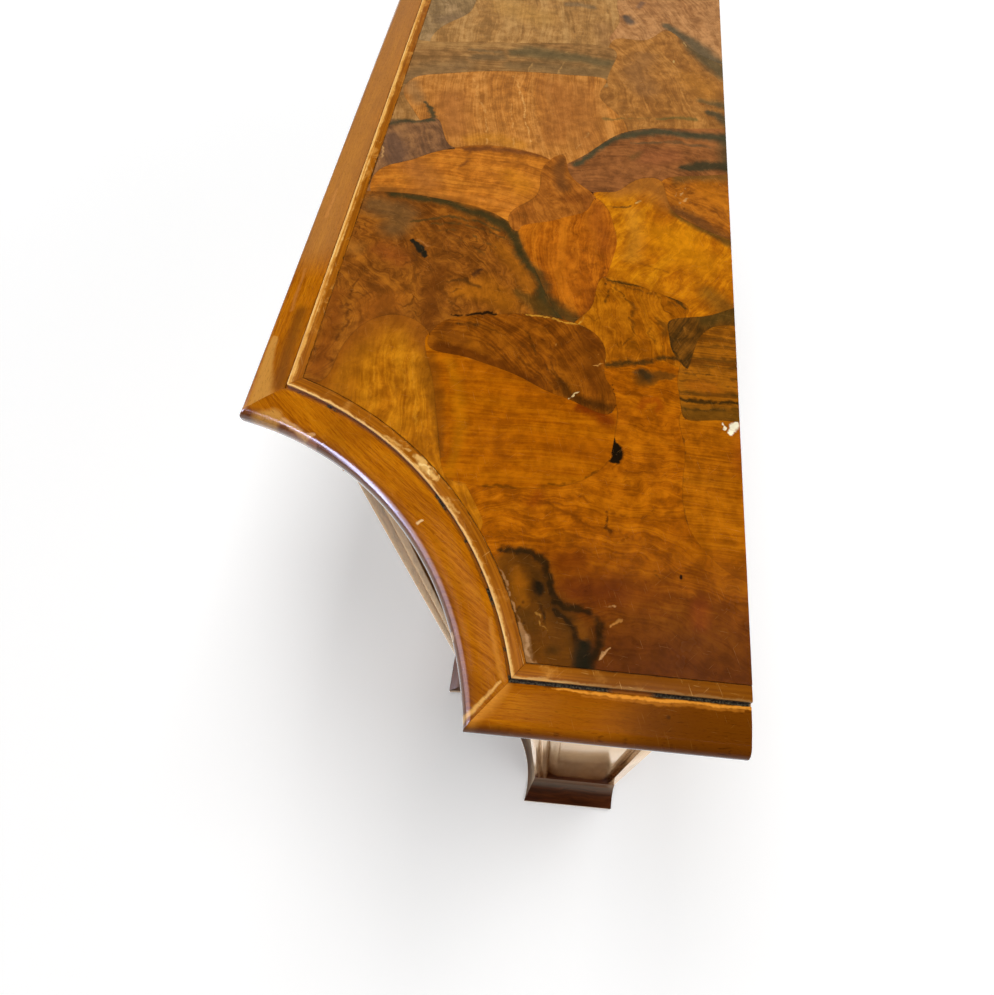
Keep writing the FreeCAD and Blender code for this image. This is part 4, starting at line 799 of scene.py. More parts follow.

# %% [markdown]
# ### Leaves of the far half
# The far leaves are paler and greyer: their tones carry a painted sheen, the reflection that the polish shows
# at a grazing angle towards the far end. They were fitted the same way, so they get the same kind of table,
# with fewer marks.

# %% Leaves of the left half
LEAVES.update({
    # The pale, greyish tones of the next five leaves are painted sheen of the polish seen at a grazing angle.
    "green_stripe_leaf": dict(
        at=(745, 230), tones=[(128, 90, 48), (150, 106, 58), (168, 124, 70)],
        turn=92, bend=900, line=5, wander=10, curl=0.25, cloud=0.3, vein=0.0, marks=[
            ([(728, 138, 10), (725, 175, 12), (728, 205, 10), (722, 244, 8)], (118, 90, 54), 0.8, 0.75),
            ([(748, 136, 9), (752, 165, 8), (752, 200, 10), (754, 225, 10),
              (748, 246, 6)], (102, 86, 54), 0.8, 0.85),
            ([(736, 258, 6), (730, 286, 6)], (114, 90, 58), 0.8, 0.7),
            ([(746, 260, 3), (746, 292, 3)], (108, 86, 56), 0.8, 0.7),
            ([(710, 300, 14), (696, 330, 14), (680, 350, 12)], (132, 100, 62), 0.9, 0.7),
            ([(712, 187, 1.0), (740, 186, 1.0), (762, 182, 1.0)], (192, 144, 82), 0.8, 0.6),
            ([(706, 222, 1.0), (730, 220, 1.0)], (192, 144, 82), 0.8, 0.5),
        ]),
    "upper_tan_leaf": dict(
        at=(720, 60), tones=[(142, 90, 40), (165, 108, 48), (182, 124, 60)],
        turn=20, bend=360, line=5, wander=22, curl=0.25, cloud=0.4, vein=0.15, marks=[
            ([(622, -6, 12), (650, -8, 7), (672, 6, 6), (676, 17, 4)], (80, 70, 46), 0.8, 0.9),
            ([(690, -6, 8), (696, 12, 6), (697, 26, 4)], (92, 78, 48), 0.8, 0.85),
            ([(742, -8, 9), (765, 10, 11), (790, 25, 11), (814, 40, 8)], (94, 80, 52), 0.7, 0.9),
            ([(714, 20, 14), (736, 36, 14)], (184, 120, 46), 0.9, 0.6),
            ([(706, 90, 14), (740, 104, 14), (770, 92, 12)], (146, 100, 56), 0.9, 0.6),
            (GREEN_LINE, (108, 90, 44), 0.8, 0.8),
            ([(765, 57, 1.5), (769, 58, 1.0)], (206, 170, 100), 0.6, 0.8),
            ([(803, 42, 0.8), (812, 46, 0.8)], (190, 150, 90), 0.6, 0.7),
        ]),
    "far_back_leaf": dict(
        at=(890, 60), tones=[(152, 100, 56), (174, 120, 70), (190, 136, 84)],
        turn=30, bend=500, line=6, wander=18, curl=0.2, cloud=0.35, vein=0.1, marks=[
            ([(768, 2, 12), (790, 20, 12), (815, 38, 9), (828, 54, 8),
              (842, 67, 6)], (94, 82, 58), 0.7, 0.9),
            ([(843, 112, 6), (851, 116, 6)], (86, 74, 62), 0.7, 0.9),
            ([(879, 102, 4), (889, 98, 3)], (126, 94, 72), 0.8, 0.7),
        ]),
    "far_middle_leaf": dict(
        at=(850, 200), tones=[(150, 106, 56), (172, 123, 66), (186, 140, 82)],
        turn=8, bend=800, line=5, wander=12, curl=0.25, cloud=0.3, vein=0.0, marks=[
            ([(866, 160, 5), (869, 175, 5), (866, 192, 4)], (126, 100, 68), 0.8, 0.8),
            ([(800, 178, 1.0), (831, 181, 1.0)], (132, 90, 46), 0.8, 0.75),
            ([(772, 196, 2), (766, 232, 2)], (142, 102, 60), 0.8, 0.65),
            ([(830, 220, 18), (842, 262, 18)], (186, 136, 66), 0.9, 0.55),
            ([(788, 140, 10), (824, 146, 10)], (150, 106, 62), 0.9, 0.6),
        ]),
    "far_front_leaf": dict(
        at=(840, 325), tones=[(134, 104, 66), (150, 118, 76), (166, 132, 90)],
        turn=20, bend=500, line=6, wander=16, curl=0.2, cloud=0.45, vein=0.0, marks=[
            ([(806, 318, 11), (800, 332, 10)], (128, 100, 70), 0.9, 0.7),
        ]),
    "left_back_leaf": dict(
        at=(1010, 60), tones=[(128, 70, 12), (164, 94, 18), (186, 114, 30)],
        turn=40, bend=300, line=5, wander=24, curl=0.15, cloud=0.45, vein=0.35, marks=[
            ([(960, -6, 7), (985, 24, 8), (1010, 40, 6), (1050, 48, 3)], (64, 50, 22), 0.8, 0.9),
            ([(1060, 90, 4), (1064, 96, 3)], BLACK, 0.5, 0.9),
        ]),
    "left_front_leaf": dict(
        at=(960, 290), tones=[(106, 60, 14), (142, 82, 20), (166, 102, 26)],
        turn=60, bend=160, line=5, wander=30, curl=0.10, cloud=0.5, vein=0.5, marks=[
            ([(900, 300, 4), (940, 276, 6), (980, 260, 6), (1010, 240, 4)], (58, 46, 20), 0.8, 0.9),
        ]),
    "left_red_leaf": dict(
        at=(1030, 170), tones=[(138, 70, 10), (168, 90, 14), (188, 108, 20)],
        turn=14, bend=-240, line=4, wander=18, curl=0.15, cloud=0.4, vein=0.2, marks=[
            ([(1000, 150, 1.4), (1040, 140, 1.6), (1085, 152, 1.4)], (110, 54, 10), 0.8, 0.7),
        ]),
    "left_end_leaf": dict(
        at=(1125, 90), tones=[(128, 66, 5), (162, 87, 6), (182, 104, 9)],
        turn=90, bend=400, line=4, wander=18, curl=0.10, cloud=0.35, vein=0.2, marks=[
            ([(1110, 150, 3), (1124, 120, 4), (1136, 92, 3), (1150, 80, 3)], (52, 34, 12), 0.8, 0.85),
        ]),
})
print("leaf finishes:", len(LEAVES))


# %% Finish of one leaf
def plan_place(bench, place):
    """The place in millimetres from the right end and from the back edge."""
    x, y, _ = bench.split(place)
    return bench.join(bench.math("SUBTRACT", HALF_LENGTH, x), bench.math("SUBTRACT", BACK, y))


def leaf_finish(name, seed, at, tones, turn, bend, line, wander, curl, cloud, vein, marks):
    finish, bench, shader, place = new_finish(name, Specular_IOR_Level=0.2)
    dark, light = tone(*tones[0]), tone(*tones[2])
    plan = plan_place(bench, place)
    side = math.radians(turn + 90)
    toward = (-math.cos(side) * math.copysign(1, bend), -math.sin(side) * math.copysign(1, bend), 0.0)
    centre = (at[0] - toward[0] * abs(bend), at[1] - toward[1] * abs(bend), 0.0)
    grain = bench.group(GRAIN, Place=plan, Centre=centre, Toward=toward, Side=(-toward[1], toward[0], 0.0))
    figure = bench.group(
        FIGURE, Along=grain["Along"], Across=grain["Across"],
        Seed=seed * 13.7, Line=float(line), Wander=float(wander)
    )
    polish = bench.group(POLISH, Place=plan)
    blend = bench.weighted((figure["Lines"], 0.3), (figure["Bands"], 0.45), (polish["Mottle"], 0.25))
    colour = bench.tones(blend, 0.39, 0.61, tones)
    if curl:
        colour = bench.stain(colour, bench.fade(figure["Curl"], 0.45, 0.7), curl, light)
    colour = bench.stain(colour, bench.fade(figure["Clouds"], 0.48, 0.74), cloud, dark)
    if vein:
        colour = bench.stain(colour, figure["Veins"], vein, tone(*(level * 0.62 for level in tones[0])))
    colour = add_marks(bench, bench.group(WANDER, Place=plan)["Place"], colour, marks)
    # Grain, mottle and pores lie over the marks too, so a knot still looks like wood.
    colour = bench.mix(1.0, colour, bench.fade(figure["Lines"], 0.34, 0.66, 0.95, 1.05), "MULTIPLY")
    colour = bench.mix(1.0, colour, bench.fade(polish["Mottle"], 0.34, 0.68, 0.86, 1.15), "MULTIPLY")
    colour = bench.stain(colour, figure["Pores"], 0.5, (0.5, 0.42, 0.35, 1.0), "MULTIPLY")
    colour = bench.stain(colour, polish["Scratches"], 0.16, tone(214, 150, 70))
    rim = bench.nodes.new("ShaderNodeAttribute")
    rim.attribute_name = "rim"
    seam = bench.fade(polish["Rubbed"], 0.38, 0.64, 0.0, 0.45)
    colour = bench.stain(colour, rim.outputs["Fac"], seam, tone(66, 36, 8))
    bench.feed(shader["Base Color"], colour)
    rubbed = bench.fade(polish["Rubbed"], 0.35, 0.7, 0.18, 0.3)
    scratched = bench.math("MULTIPLY", polish["Scratches"], 0.2)
    bench.feed(shader["Roughness"], bench.math("ADD", rubbed, scratched))
    relief = bench.math("ADD", bench.math("MULTIPLY", figure["Lines"], 0.25), polish["Rubbed"])
    relief = bench.math("SUBTRACT", relief, bench.math("MULTIPLY", polish["Scratches"], 0.12))
    bench.feed(shader["Normal"], bench.bump(relief, 0.00008))
    return finish


for number, (name, wood) in enumerate(LEAVES.items()):
    leaf = saw_leaf(name, wood["at"])
    settle(leaf, "veneer_leaves", leaf_finish(name, number, **wood))
upward = [face for face in layer.data.polygons if face.normal.z > 0.9]
print("faces of the layer not sawn out:", len(upward))
pick(layer)
bpy.ops.object.delete()

# %% [markdown]
# ## Along the edge
# The band and the moulding follow the edge of the top: straight along the front, straight along the ends,
# and round the hollow corners. Their grain follows it too, and so does their wear. One group for each of
# the three gives the distance along the edge and the distance in from it, so that one finish fits all
# three.

# %% Places along the edge
HOLLOW_CENTRE = (642.6, -253.6)
HOLLOW_RADIUS = 270.0
EDGES = {}
for kind in ("front", "end", "corner"):
    tree, bench, given, made = new_group(kind + " edge", {"Place": (0.0, 0.0, 0.0)}, ["Along", "Inset"])
    x, y, z = bench.split(given["Place"])
    outward = bench.math("ABSOLUTE", x)
    if kind == "front":
        bench.feed(made["Along"], x)
        bench.feed(made["Inset"], bench.math("ADD", y, BACK))
    elif kind == "end":
        bench.feed(made["Along"], y)
        bench.feed(made["Inset"], bench.math("SUBTRACT", HALF_LENGTH, outward))
    else:
        run_x = bench.math("SUBTRACT", outward, HOLLOW_CENTRE[0])
        run_y = bench.math("SUBTRACT", y, HOLLOW_CENTRE[1])
        bench.feed(made["Along"], bench.math("MULTIPLY", bench.math("ARCTAN2", run_y, run_x), HOLLOW_RADIUS))
        radius = bench.vector("LENGTH", bench.join(run_x, run_y))
        bench.feed(made["Inset"], bench.math("SUBTRACT", radius, HOLLOW_RADIUS))
    EDGES[kind] = tree
print("edges:", list(EDGES))


# %% [markdown]
# ## The band and its worn lip
# A strip of paler walnut frames the field. Its outer arris stands a little above the moulding, so every
# cloth and sleeve has rubbed it, and the stain is gone there: a bright, broken line runs all the way round.

# %% Finish of the bands
BAND_ARRIS = 0.0005
BAND_TONES = [(134, 72, 6), (154, 86, 8), (172, 100, 13)]
FIBRE_TONES = [(196, 122, 34), (226, 158, 64), (244, 196, 112)]
LIP_END = {"front": 39.4, "end": 34.9, "corner": 37.2}
BARE_LIP = {"front": 0.6, "end": 0.6, "corner": 0.95}
BAND_MARKS = {
    "front": [],
    "end": [([(40, -20, 40), (40, 40, 40), (40, 90, 30)], (112, 60, 8), 0.9, 0.7)],
    "corner": [
        ([(196, 253, 1.4), (190, 247, 2.4), (183, 241, 2.6), (175, 233, 1.2)], (240, 188, 106), 0.7, 0.8),
        ([(190, 250, 0.8), (186, 240, 1.0), (180, 240, 0.8)], (250, 212, 140), 0.6, 0.85),
        ([(177, 232, 0.6), (184, 236, 0.7), (192, 246, 0.6)], (226, 168, 84), 0.7, 0.8),
        ([(214, 290, 1.0), (206, 272, 1.2), (199, 258, 1.0)], (230, 176, 94), 0.8, 0.6),
        ([(150, 212, 1.0), (160, 222, 1.3)], (222, 166, 84), 0.8, 0.6),
    ],
}


def band_finish(kind):
    finish, bench, shader, place = new_finish(kind + "_band", Specular_IOR_Level=0.22)
    edge = bench.group(EDGES[kind], Place=place)
    figure = bench.group(FIGURE, Along=edge["Along"], Across=edge["Inset"], Seed=31.0, Line=3.0, Wander=1.0)
    colour = bench.tones(figure["Lines"], 0.32, 0.68, BAND_TONES)
    colour = bench.stain(colour, figure["Pores"], 0.3, tone(98, 50, 5))
    ragged = bench.noise(place, 1 / 11, 5.0, 0.68)
    reach = bench.jitter(edge["Inset"], ragged, 7.0)
    worn = bench.fade(reach, LIP_END[kind], LIP_END[kind] - 3.2)
    colour = bench.stain(colour, worn, 0.92, bench.tones(figure["Lines"], 0.35, 0.65, FIBRE_TONES))
    bare = bench.fade(ragged, 0.36, 0.6, 0.3, BARE_LIP[kind])
    colour = bench.stain(colour, bench.fade(reach, 36.2, 34.6), bare, tone(250, 208, 132))
    plan = bench.group(WANDER, Place=plan_place(bench, place), Far=1.0, Near=1.4)["Place"]
    colour = add_marks(bench, plan, colour, BAND_MARKS[kind])
    polish = bench.group(POLISH, Place=place)
    rubbed = bench.fade(polish["Rubbed"], 0.44, 0.6)
    scuffed = bench.math("MULTIPLY", rubbed, bench.fade(polish["Mottle"], 0.5, 0.66))
    colour = bench.stain(colour, scuffed, 0.55, tone(222, 154, 66))
    colour = bench.stain(colour, polish["Scratches"], 0.5, tone(240, 190, 110))
    seam = bench.fade(bench.jitter(edge["Inset"], ragged, 2.0), 44.0, 44.9)
    colour = bench.stain(colour, seam, bench.fade(ragged, 0.4, 0.6, 0.2, 0.85), tone(60, 34, 10))
    bench.feed(shader["Base Color"], colour)
    bench.feed(shader["Roughness"], bench.math("ADD", bench.math("MULTIPLY", worn, 0.22), 0.32))
    chips = bench.weighted((worn, ragged), (figure["Lines"], 0.3))
    bench.feed(shader["Normal"], bench.bump(chips, 0.00022))
    return finish


BANDS = {kind: band_finish(kind) for kind in EDGES}
for node in [name for name in frame["nodes"] if name.endswith("_band")]:
    kind = next(kind for kind in EDGES if kind in node)
    band = welded_copy(node, "worn_" + node)
    soften(band, BAND_ARRIS)
    settle(band, node, BANDS[kind])
print("bands:", len(BANDS))


# %% [markdown]
# ## The moulding
# The edge is solid wood with straight grain and open pores. Its rounded nose catches a bright glint of
# window light. Dirt and old wax lie along the gap, and the gap's edge is painted dark, partly for the dirt
# and partly as painted shade of the open gap. The nose is painted darker as painted shade, where it turns
# away from the light, and bare wood shows where the corner has been knocked. The marks of the right end are
# drawn where the real table has them.

# %% Finish of the mouldings
MOULDING_ARRIS = 0.0007
MOULDING_TONES = [(138, 70, 3), (178, 100, 6), (204, 126, 13)]
MOULDING_MARKS = {
    "front": [
        # The first stroke is painted sheen: the front moulding grows paler towards the far end, as polish
        # reflects at a grazing angle.
        ([(420, 386, 30), (640, 386, 44), (920, 386, 60)], (180, 128, 70), 0.9, 0.55),
        ([(250, 373, 6), (282, 376, 6), (330, 377, 5)], (112, 60, 7), 0.9, 0.75),
        ([(210, 386, 13), (226, 383, 12), (246, 386, 8), (270, 390, 5),
          (298, 392, 3)], (202, 142, 62), 0.45, 0.88),
        ([(330, 386, 1.4), (380, 387, 1.4)], (190, 120, 50), 0.8, 0.6),
        ([(450, 386, 1.4), (490, 385, 1.4)], (200, 132, 64), 0.7, 0.7),
    ],
    "end": [
        ([(10, -20, 44), (12, 60, 44), (14, 120, 30)], (138, 72, 5), 0.9, 0.7),
        ([(12, -24, 34), (13, 30, 32), (15, 60, 22)], (96, 48, 4), 0.95, 0.85),
        ([(30.8, -5, 1.1), (30.4, 40, 1.2), (30.2, 90, 1.3), (31, 132, 0.7)], (232, 150, 50), 0.6, 0.9),
        ([(8, 183, 5), (20, 173, 6), (30, 166, 5)], (224, 148, 54), 0.95, 0.75),
        ([(28.6, 6, 0.9), (27.8, 60, 1.0), (28, 112, 0.8)], (190, 114, 30), 0.8, 0.6),
        ([(20, 55, 1.4)], UMBER, 0.5, 0.9),
        ([(2, 187, 1.2), (14, 177, 0.7), (31, 164, 0.7)], (112, 58, 6), 0.7, 0.8),
    ],
    "corner": [
        ([(4, 190, 2.2), (13, 181, 1.4), (31, 167, 0.8)], (240, 182, 92), 0.7, 0.75),
        ([(34, 166, 2.0), (52, 172, 1.8), (74, 179, 1.5)], (204, 130, 40), 0.7, 0.7),
        ([(208, 390, 9), (214, 379, 10), (220, 371, 7)], (202, 142, 62), 0.35, 0.9),
        ([(208, 372, 4), (206, 352, 3), (201, 334, 2)], (176, 116, 84), 0.7, 0.7),
        ([(218, 363, 2.2), (212, 351, 2.4), (206, 342, 2.4), (208, 335, 1.6)], (214, 160, 100), 0.5, 0.85),
        ([(203, 324, 0.5), (200, 330, 0.7)], (222, 176, 120), 0.7, 0.7),
        ([(141, 241, 1.3), (143, 238, 1.0)], (240, 196, 130), 0.5, 0.85),
        ([(59, 203, 1.4), (63, 204, 1.0)], (226, 180, 130), 0.5, 0.85),
    ],
}
GAP_DIRT_AND_SHADE = {"front": 0.3, "end": 0.6, "corner": 0.4}
NOSE_ROUGHNESS = 0.17
NOSE_SHADE = {"front": 0.3, "end": 0.85, "corner": 0.75}
NOSE_SHADE_WIDTH = {"front": 7.0, "end": 7.0, "corner": 12.0}
SHINE = {"front": 0.2, "end": 0.06, "corner": 0.42}
FLAT_ROUGHNESS = {"front": 0.2, "end": 0.2, "corner": 0.11}


def moulding_finish(kind):
    finish, bench, shader, place = new_finish(kind + "_moulding", Specular_IOR_Level=SHINE[kind])
    x, y, z = bench.split(place)
    plan = bench.group(WANDER, Place=plan_place(bench, place), Far=1.0, Near=0.7)["Place"]
    edge = bench.group(EDGES[kind], Place=place)
    along, across = edge["Along"], bench.math("SUBTRACT", edge["Inset"], z)
    if kind == "corner":
        # A hollow corner is sawn from a straight board, so its grain runs straight across the curve.
        flat = bench.join(bench.math("ABSOLUTE", x), y)
        along = bench.vector("DOT_PRODUCT", flat, (0.62, 0.785, 0.0))
        across = bench.math("SUBTRACT", bench.vector("DOT_PRODUCT", flat, (-0.785, 0.62, 0.0)), z)
    figure = bench.group(FIGURE, Along=along, Across=across, Seed=17.0, Line=3.0, Wander=3.5)
    flecks = bench.noise(bench.stretched(along, across, 10.0, 0.9, 4.0), 1.0, 3.0, 0.6)
    blend = bench.weighted((figure["Lines"], 0.3), (figure["Bands"], 0.3), (flecks, 0.4))
    colour = bench.tones(blend, 0.35, 0.65, MOULDING_TONES)
    patchy = bench.noise(place, 1 / 45, 4.0, 0.6)
    colour = bench.stain(colour, bench.fade(patchy, 0.45, 0.7), 0.35, tone(128, 66, 6))
    # The nose is painted darker: painted shade where the rounded nose turns away from the light.
    nose_shade = bench.fade(edge["Inset"], NOSE_SHADE_WIDTH[kind], 0.5)
    colour = bench.stain(colour, nose_shade, NOSE_SHADE[kind], tone(84, 38, 12))
    colour = add_marks(bench, plan, colour, MOULDING_MARKS[kind])
    colour = bench.stain(colour, figure["Pores"], 0.55, (0.36, 0.28, 0.2, 1.0), "MULTIPLY")
    colour = bench.stain(colour, bench.fade(flecks, 0.54, 0.72), 0.6, (0.42, 0.36, 0.3, 1.0), "MULTIPLY")
    dashes = bench.noise(place, 1 / 16, 4.0, 0.6)
    # The inner edge along the gap is painted nearly black: partly old dirt, partly painted shade of the open
    # gap.
    gap_dirt_and_shade = bench.fade(bench.jitter(edge["Inset"], dashes, 5.0), 30.9, 32.0)
    colour = bench.stain(colour, gap_dirt_and_shade, GAP_DIRT_AND_SHADE[kind], tone(34, 20, 8))
    polish = bench.group(POLISH, Place=place)
    colour = bench.stain(colour, polish["Scratches"], 0.15, tone(220, 160, 90))
    bench.feed(shader["Base Color"], colour)
    gloss = bench.fade(edge["Inset"], 8.0, 13.0, NOSE_ROUGHNESS, FLAT_ROUGHNESS[kind])
    rubbed = bench.fade(polish["Rubbed"], 0.35, 0.7, 0.0, 0.05)
    bench.feed(shader["Roughness"], bench.math("ADD", gloss, rubbed))
    relief = bench.math("SUBTRACT", polish["Rubbed"], bench.math("MULTIPLY", figure["Pores"], 0.4))
    bench.feed(shader["Normal"], bench.bump(relief, 0.00004))
    return finish


MOULDINGS = {kind: moulding_finish(kind) for kind in EDGES}
for node in [name for name in frame["nodes"] if name.endswith("_moulding")]:
    kind = next(kind for kind in EDGES if kind in node)
    moulding = welded_copy(node, "polished_" + node)
    soften(moulding, MOULDING_ARRIS)
    settle(moulding, node, MOULDINGS[kind])
print("mouldings:", len(MOULDINGS))


# %% [markdown]
# ## Plain wood
# The core, the backs, the floors of the pedestals and the bearer were never meant to be seen. They are sawn
# softwood, pale where it is clean. In the gap beside the moulding it is painted nearly black, partly for old
# dirt and partly as painted shade of the open gap. The backs stand with their grain upright, and the other
# boards lie along the table.

# %% Finish of the hidden wood
SAWN_ARRIS = 0.0005
SAWN_TONES = [(142, 98, 54), (168, 122, 72), (186, 142, 90)]


def sawn_finish(name, stretch):
    finish, bench, shader, place = new_finish(name, Specular_IOR_Level=0.25)
    x, y, z = bench.split(place)
    fibre = bench.vector("MULTIPLY", bench.vector("ADD", place, bench.drift(place, 160, 60.0)), stretch)
    rings = bench.noise(fibre, 1.0, 4.0, 0.55)
    colour = bench.tones(rings, 0.3, 0.7, SAWN_TONES)
    blotch = bench.noise(place, 1 / 120, 4.0, 0.6)
    colour = bench.stain(colour, bench.fade(blotch, 0.42, 0.72), 0.35, tone(112, 74, 42))
    dashes = bench.noise(place, 1 / 14, 4.0, 0.6)
    specks = bench.noise(place, 1 / 1.5, 3.0, 0.6)
    # Near-black specks stand for old dirt and, in the gap, for painted shade.
    dirt_and_gap_shade = bench.mix(bench.fade(specks, 0.4, 0.66), tone(30, 22, 12), tone(92, 84, 64))
    wax_dirt_and_gap_shade = bench.mix(bench.fade(dashes, 0.55, 0.63), tone(148, 84, 18), dirt_and_gap_shade)
    # The gap along the ends is open, and its floor is painted dark there as painted shade together with dirt,
    # except for one stretch where the lip has spread over it.
    spread = bench.fade(bench.math("ABSOLUTE", bench.math("SUBTRACT", y, 120.0)), 10.0, 18.0)
    at_end = bench.math("MULTIPLY", bench.fade(bench.math("ABSOLUTE", x), 562.0, 564.0), spread)
    wax_dirt_and_gap_shade = bench.mix(at_end, wax_dirt_and_gap_shade, dirt_and_gap_shade)
    in_gap = bench.math("MULTIPLY", bench.fade(z, 757.0, 759.0), bench.fade(y, 199.4, 198.6))
    colour = bench.mix(in_gap, colour, wax_dirt_and_gap_shade)
    saw = bench.noise(bench.vector("SCALE", fibre, 3.0), 1.0, 2.0)
    bench.feed(shader["Base Color"], colour)
    bench.feed(shader["Roughness"], bench.fade(saw, 0.3, 0.7, 0.6, 0.85))
    bench.feed(shader["Normal"], bench.bump(saw, 0.0002))
    return finish


UPRIGHT = (1 / 4.0, 1 / 4.0, 1 / 220.0)
LENGTHWISE = (1 / 220.0, 1 / 4.0, 1 / 4.0)
DEPTHWISE = (1 / 4.0, 1 / 220.0, 1 / 4.0)
LYING = sawn_finish("sawn_board", LENGTHWISE)
STANDING = sawn_finish("sawn_back", UPRIGHT)
hidden = ["top_core", "centre_bearer"]
for side in ("right", "left"):
    hidden += [side + "_back_panel", side + "_base_board", side + "_plinth_back"]
for node in hidden:
    piece = welded_copy(node, "sawn_" + node)
    soften(piece, SAWN_ARRIS, 1)
    settle(piece, node, STANDING if "back_panel" in node else LYING)
print("hidden pieces:", len(hidden))


# %% [markdown]
# ## The pedestals
# Posts, panels and plinths are polished until they mirror the floor. Their grain stands upright in the
# posts and the panels, and runs along the plinth. One function makes the finish for each of them, with its
# tones and the direction that its grain is stretched in. The hollow panels and the plinths get dark tones
# as painted shade, since they stand in the shade under the top.

# %% Finish of the polished pedestals
def polished_finish(name, tones, stretch, gloss, shine=0.8):
    finish, bench, shader, place = new_finish(
        name, Specular_IOR_Level=shine, IOR=1.7, Coat_Weight=1.0, Coat_IOR=1.05, Coat_Roughness=0.1,
        Coat_Tint=(1.0, 0.9, 0.75, 1.0)
    )
    fibre = bench.vector("MULTIPLY", bench.vector("ADD", place, bench.drift(place, 90, 30.0)), stretch)
    lines = bench.noise(fibre, 1.0, 5.0, 0.62)
    bands = bench.noise(bench.vector("SCALE", fibre, 0.2), 1.0, 3.0)
    colour = bench.tones(bench.weighted((lines, 0.55), (bands, 0.45)), 0.33, 0.67, tones)
    pores = bench.fade(bench.noise(bench.vector("SCALE", fibre, 6.0), 1.0, 1.0), 0.6, 0.74)
    colour = bench.stain(colour, pores, 0.4, tone(*tones[0]))
    rubbed = bench.noise(place, 1 / 50, 4.0, 0.6)
    bench.feed(shader["Base Color"], colour)
    bench.feed(shader["Roughness"], bench.fade(rubbed, 0.35, 0.7, gloss, gloss + 0.06))
    relief = bench.math("SUBTRACT", rubbed, bench.math("MULTIPLY", pores, 0.3))
    bench.feed(shader["Normal"], bench.bump(relief, 0.00002))
    return finish


POST_TONES = [(114, 78, 50), (154, 112, 76), (182, 140, 98)]
PANEL_TONES = [(112, 78, 52), (150, 110, 76), (176, 136, 96)]
# Dark, dull tones of the hollow panel: painted shade, where it stands under the top.
HOLLOW_SHADE_TONES = [(34, 17, 8), (56, 29, 13), (82, 46, 22)]
# Dark maroon tones of the plinths: painted shade, where they lie in the shadow of the top.
PLINTH_SHADE_TONES = [(46, 20, 8), (74, 36, 15), (100, 54, 24)]
POST = polished_finish("polished_post", POST_TONES, UPRIGHT, 0.21)
PANEL = polished_finish("polished_panel", PANEL_TONES, UPRIGHT, 0.21)
HOLLOW_SHADE = polished_finish("shaded_hollow_panel", HOLLOW_SHADE_TONES, UPRIGHT, 0.5, 0.15)
PLINTH_LONG = polished_finish("polished_plinth_front", PLINTH_SHADE_TONES, LENGTHWISE, 0.3, 0.2)
PLINTH_DEEP = polished_finish("polished_plinth_side", PLINTH_SHADE_TONES, DEPTHWISE, 0.3, 0.2)
RAIL = polished_finish("polished_rail", POST_TONES, LENGTHWISE, 0.3)

FINE_ARRIS = 0.0006
PLAIN_ARRIS = 0.0008
PLINTH_ARRIS = 0.001
RAIL_ARRIS = 0.001
PEDESTAL = {
    "end_post": ("post_wood", POST, FINE_ARRIS),
    "front_post": ("post_wood", POST, FINE_ARRIS),
    "inner_post": ("post_wood", POST, FINE_ARRIS),
    "back_stile": ("post_wood", POST, PLAIN_ARRIS),
    "pedestal_cap": ("post_wood", RAIL, PLAIN_ARRIS),
    "end_panel": ("panel_wood", PANEL, FINE_ARRIS),
    "hollow_panel": ("panel_wood", HOLLOW_SHADE, FINE_ARRIS),
    "front_panel": ("panel_wood", PANEL, FINE_ARRIS),
    "inner_panel": ("panel_wood", PANEL, PLAIN_ARRIS),
    "plinth_end": ("plinth_wood", PLINTH_DEEP, PLINTH_ARRIS),
    "plinth_hollow": ("plinth_wood", PLINTH_LONG, PLINTH_ARRIS),
    "plinth_front": ("plinth_wood", PLINTH_LONG, PLINTH_ARRIS),
    "plinth_inner": ("plinth_wood", PLINTH_DEEP, PLINTH_ARRIS),
}
for side in ("right", "left"):
    for name, (slot, finish, arris) in PEDESTAL.items():
        piece = welded_copy(side + "_" + name, "polished_" + side + "_" + name)
        soften(piece, arris)
        settle(piece, side + "_" + name, finish)
for node in ("front_rail", "back_rail"):
    piece = welded_copy(node, "polished_" + node)
    soften(piece, RAIL_ARRIS)
    settle(piece, node, RAIL)
print("pedestal pieces:", 2 * len(PEDESTAL) + 2)

# %% [markdown]
# ## Screws
# Six old screws hold the top. They are hidden inside the pedestals, so a dull, brown-spotted steel is
# enough.

# %% Finish of the screws
SCREW_ARRIS = 0.0004
finish, bench, shader, place = new_finish("old_screw_steel", Metallic=1.0)
spots = bench.noise(place, 1 / 2.5, 4.0, 0.65)
rust = bench.fade(spots, 0.45, 0.65)
bench.feed(shader["Base Color"], bench.mix(rust, tone(150, 146, 140), tone(96, 60, 38)))
bench.feed(shader["Roughness"], bench.fade(spots, 0.3, 0.7, 0.35, 0.75))
bench.feed(shader["Normal"], bench.bump(spots, 0.0001))
screws = welded_copy("top_screws", "old_screws")
soften(screws, SCREW_ARRIS)
settle(screws, "top_screws", finish)
print("screws:", len(screws.data.polygons), "faces")

# %% [markdown]
# ## Floor and light
# The table stands on a plain white floor, under two long soft ceiling lights, one behind it and one in
# front. Each of them throws its own shadow, so the floor is grey on both sides of the top and darkest where
# the two meet. Lights seen in a polished top would lie over it like fog, so these are kept out of
# reflections and the polish stays deep. A cool window and a pale wall in front may be reflected: they draw
# the bright glint on the nose of the hollow moulding. The floor adds a little light of its own to what the
# camera sees, and more of it further away, which keeps it white outside the shadow.

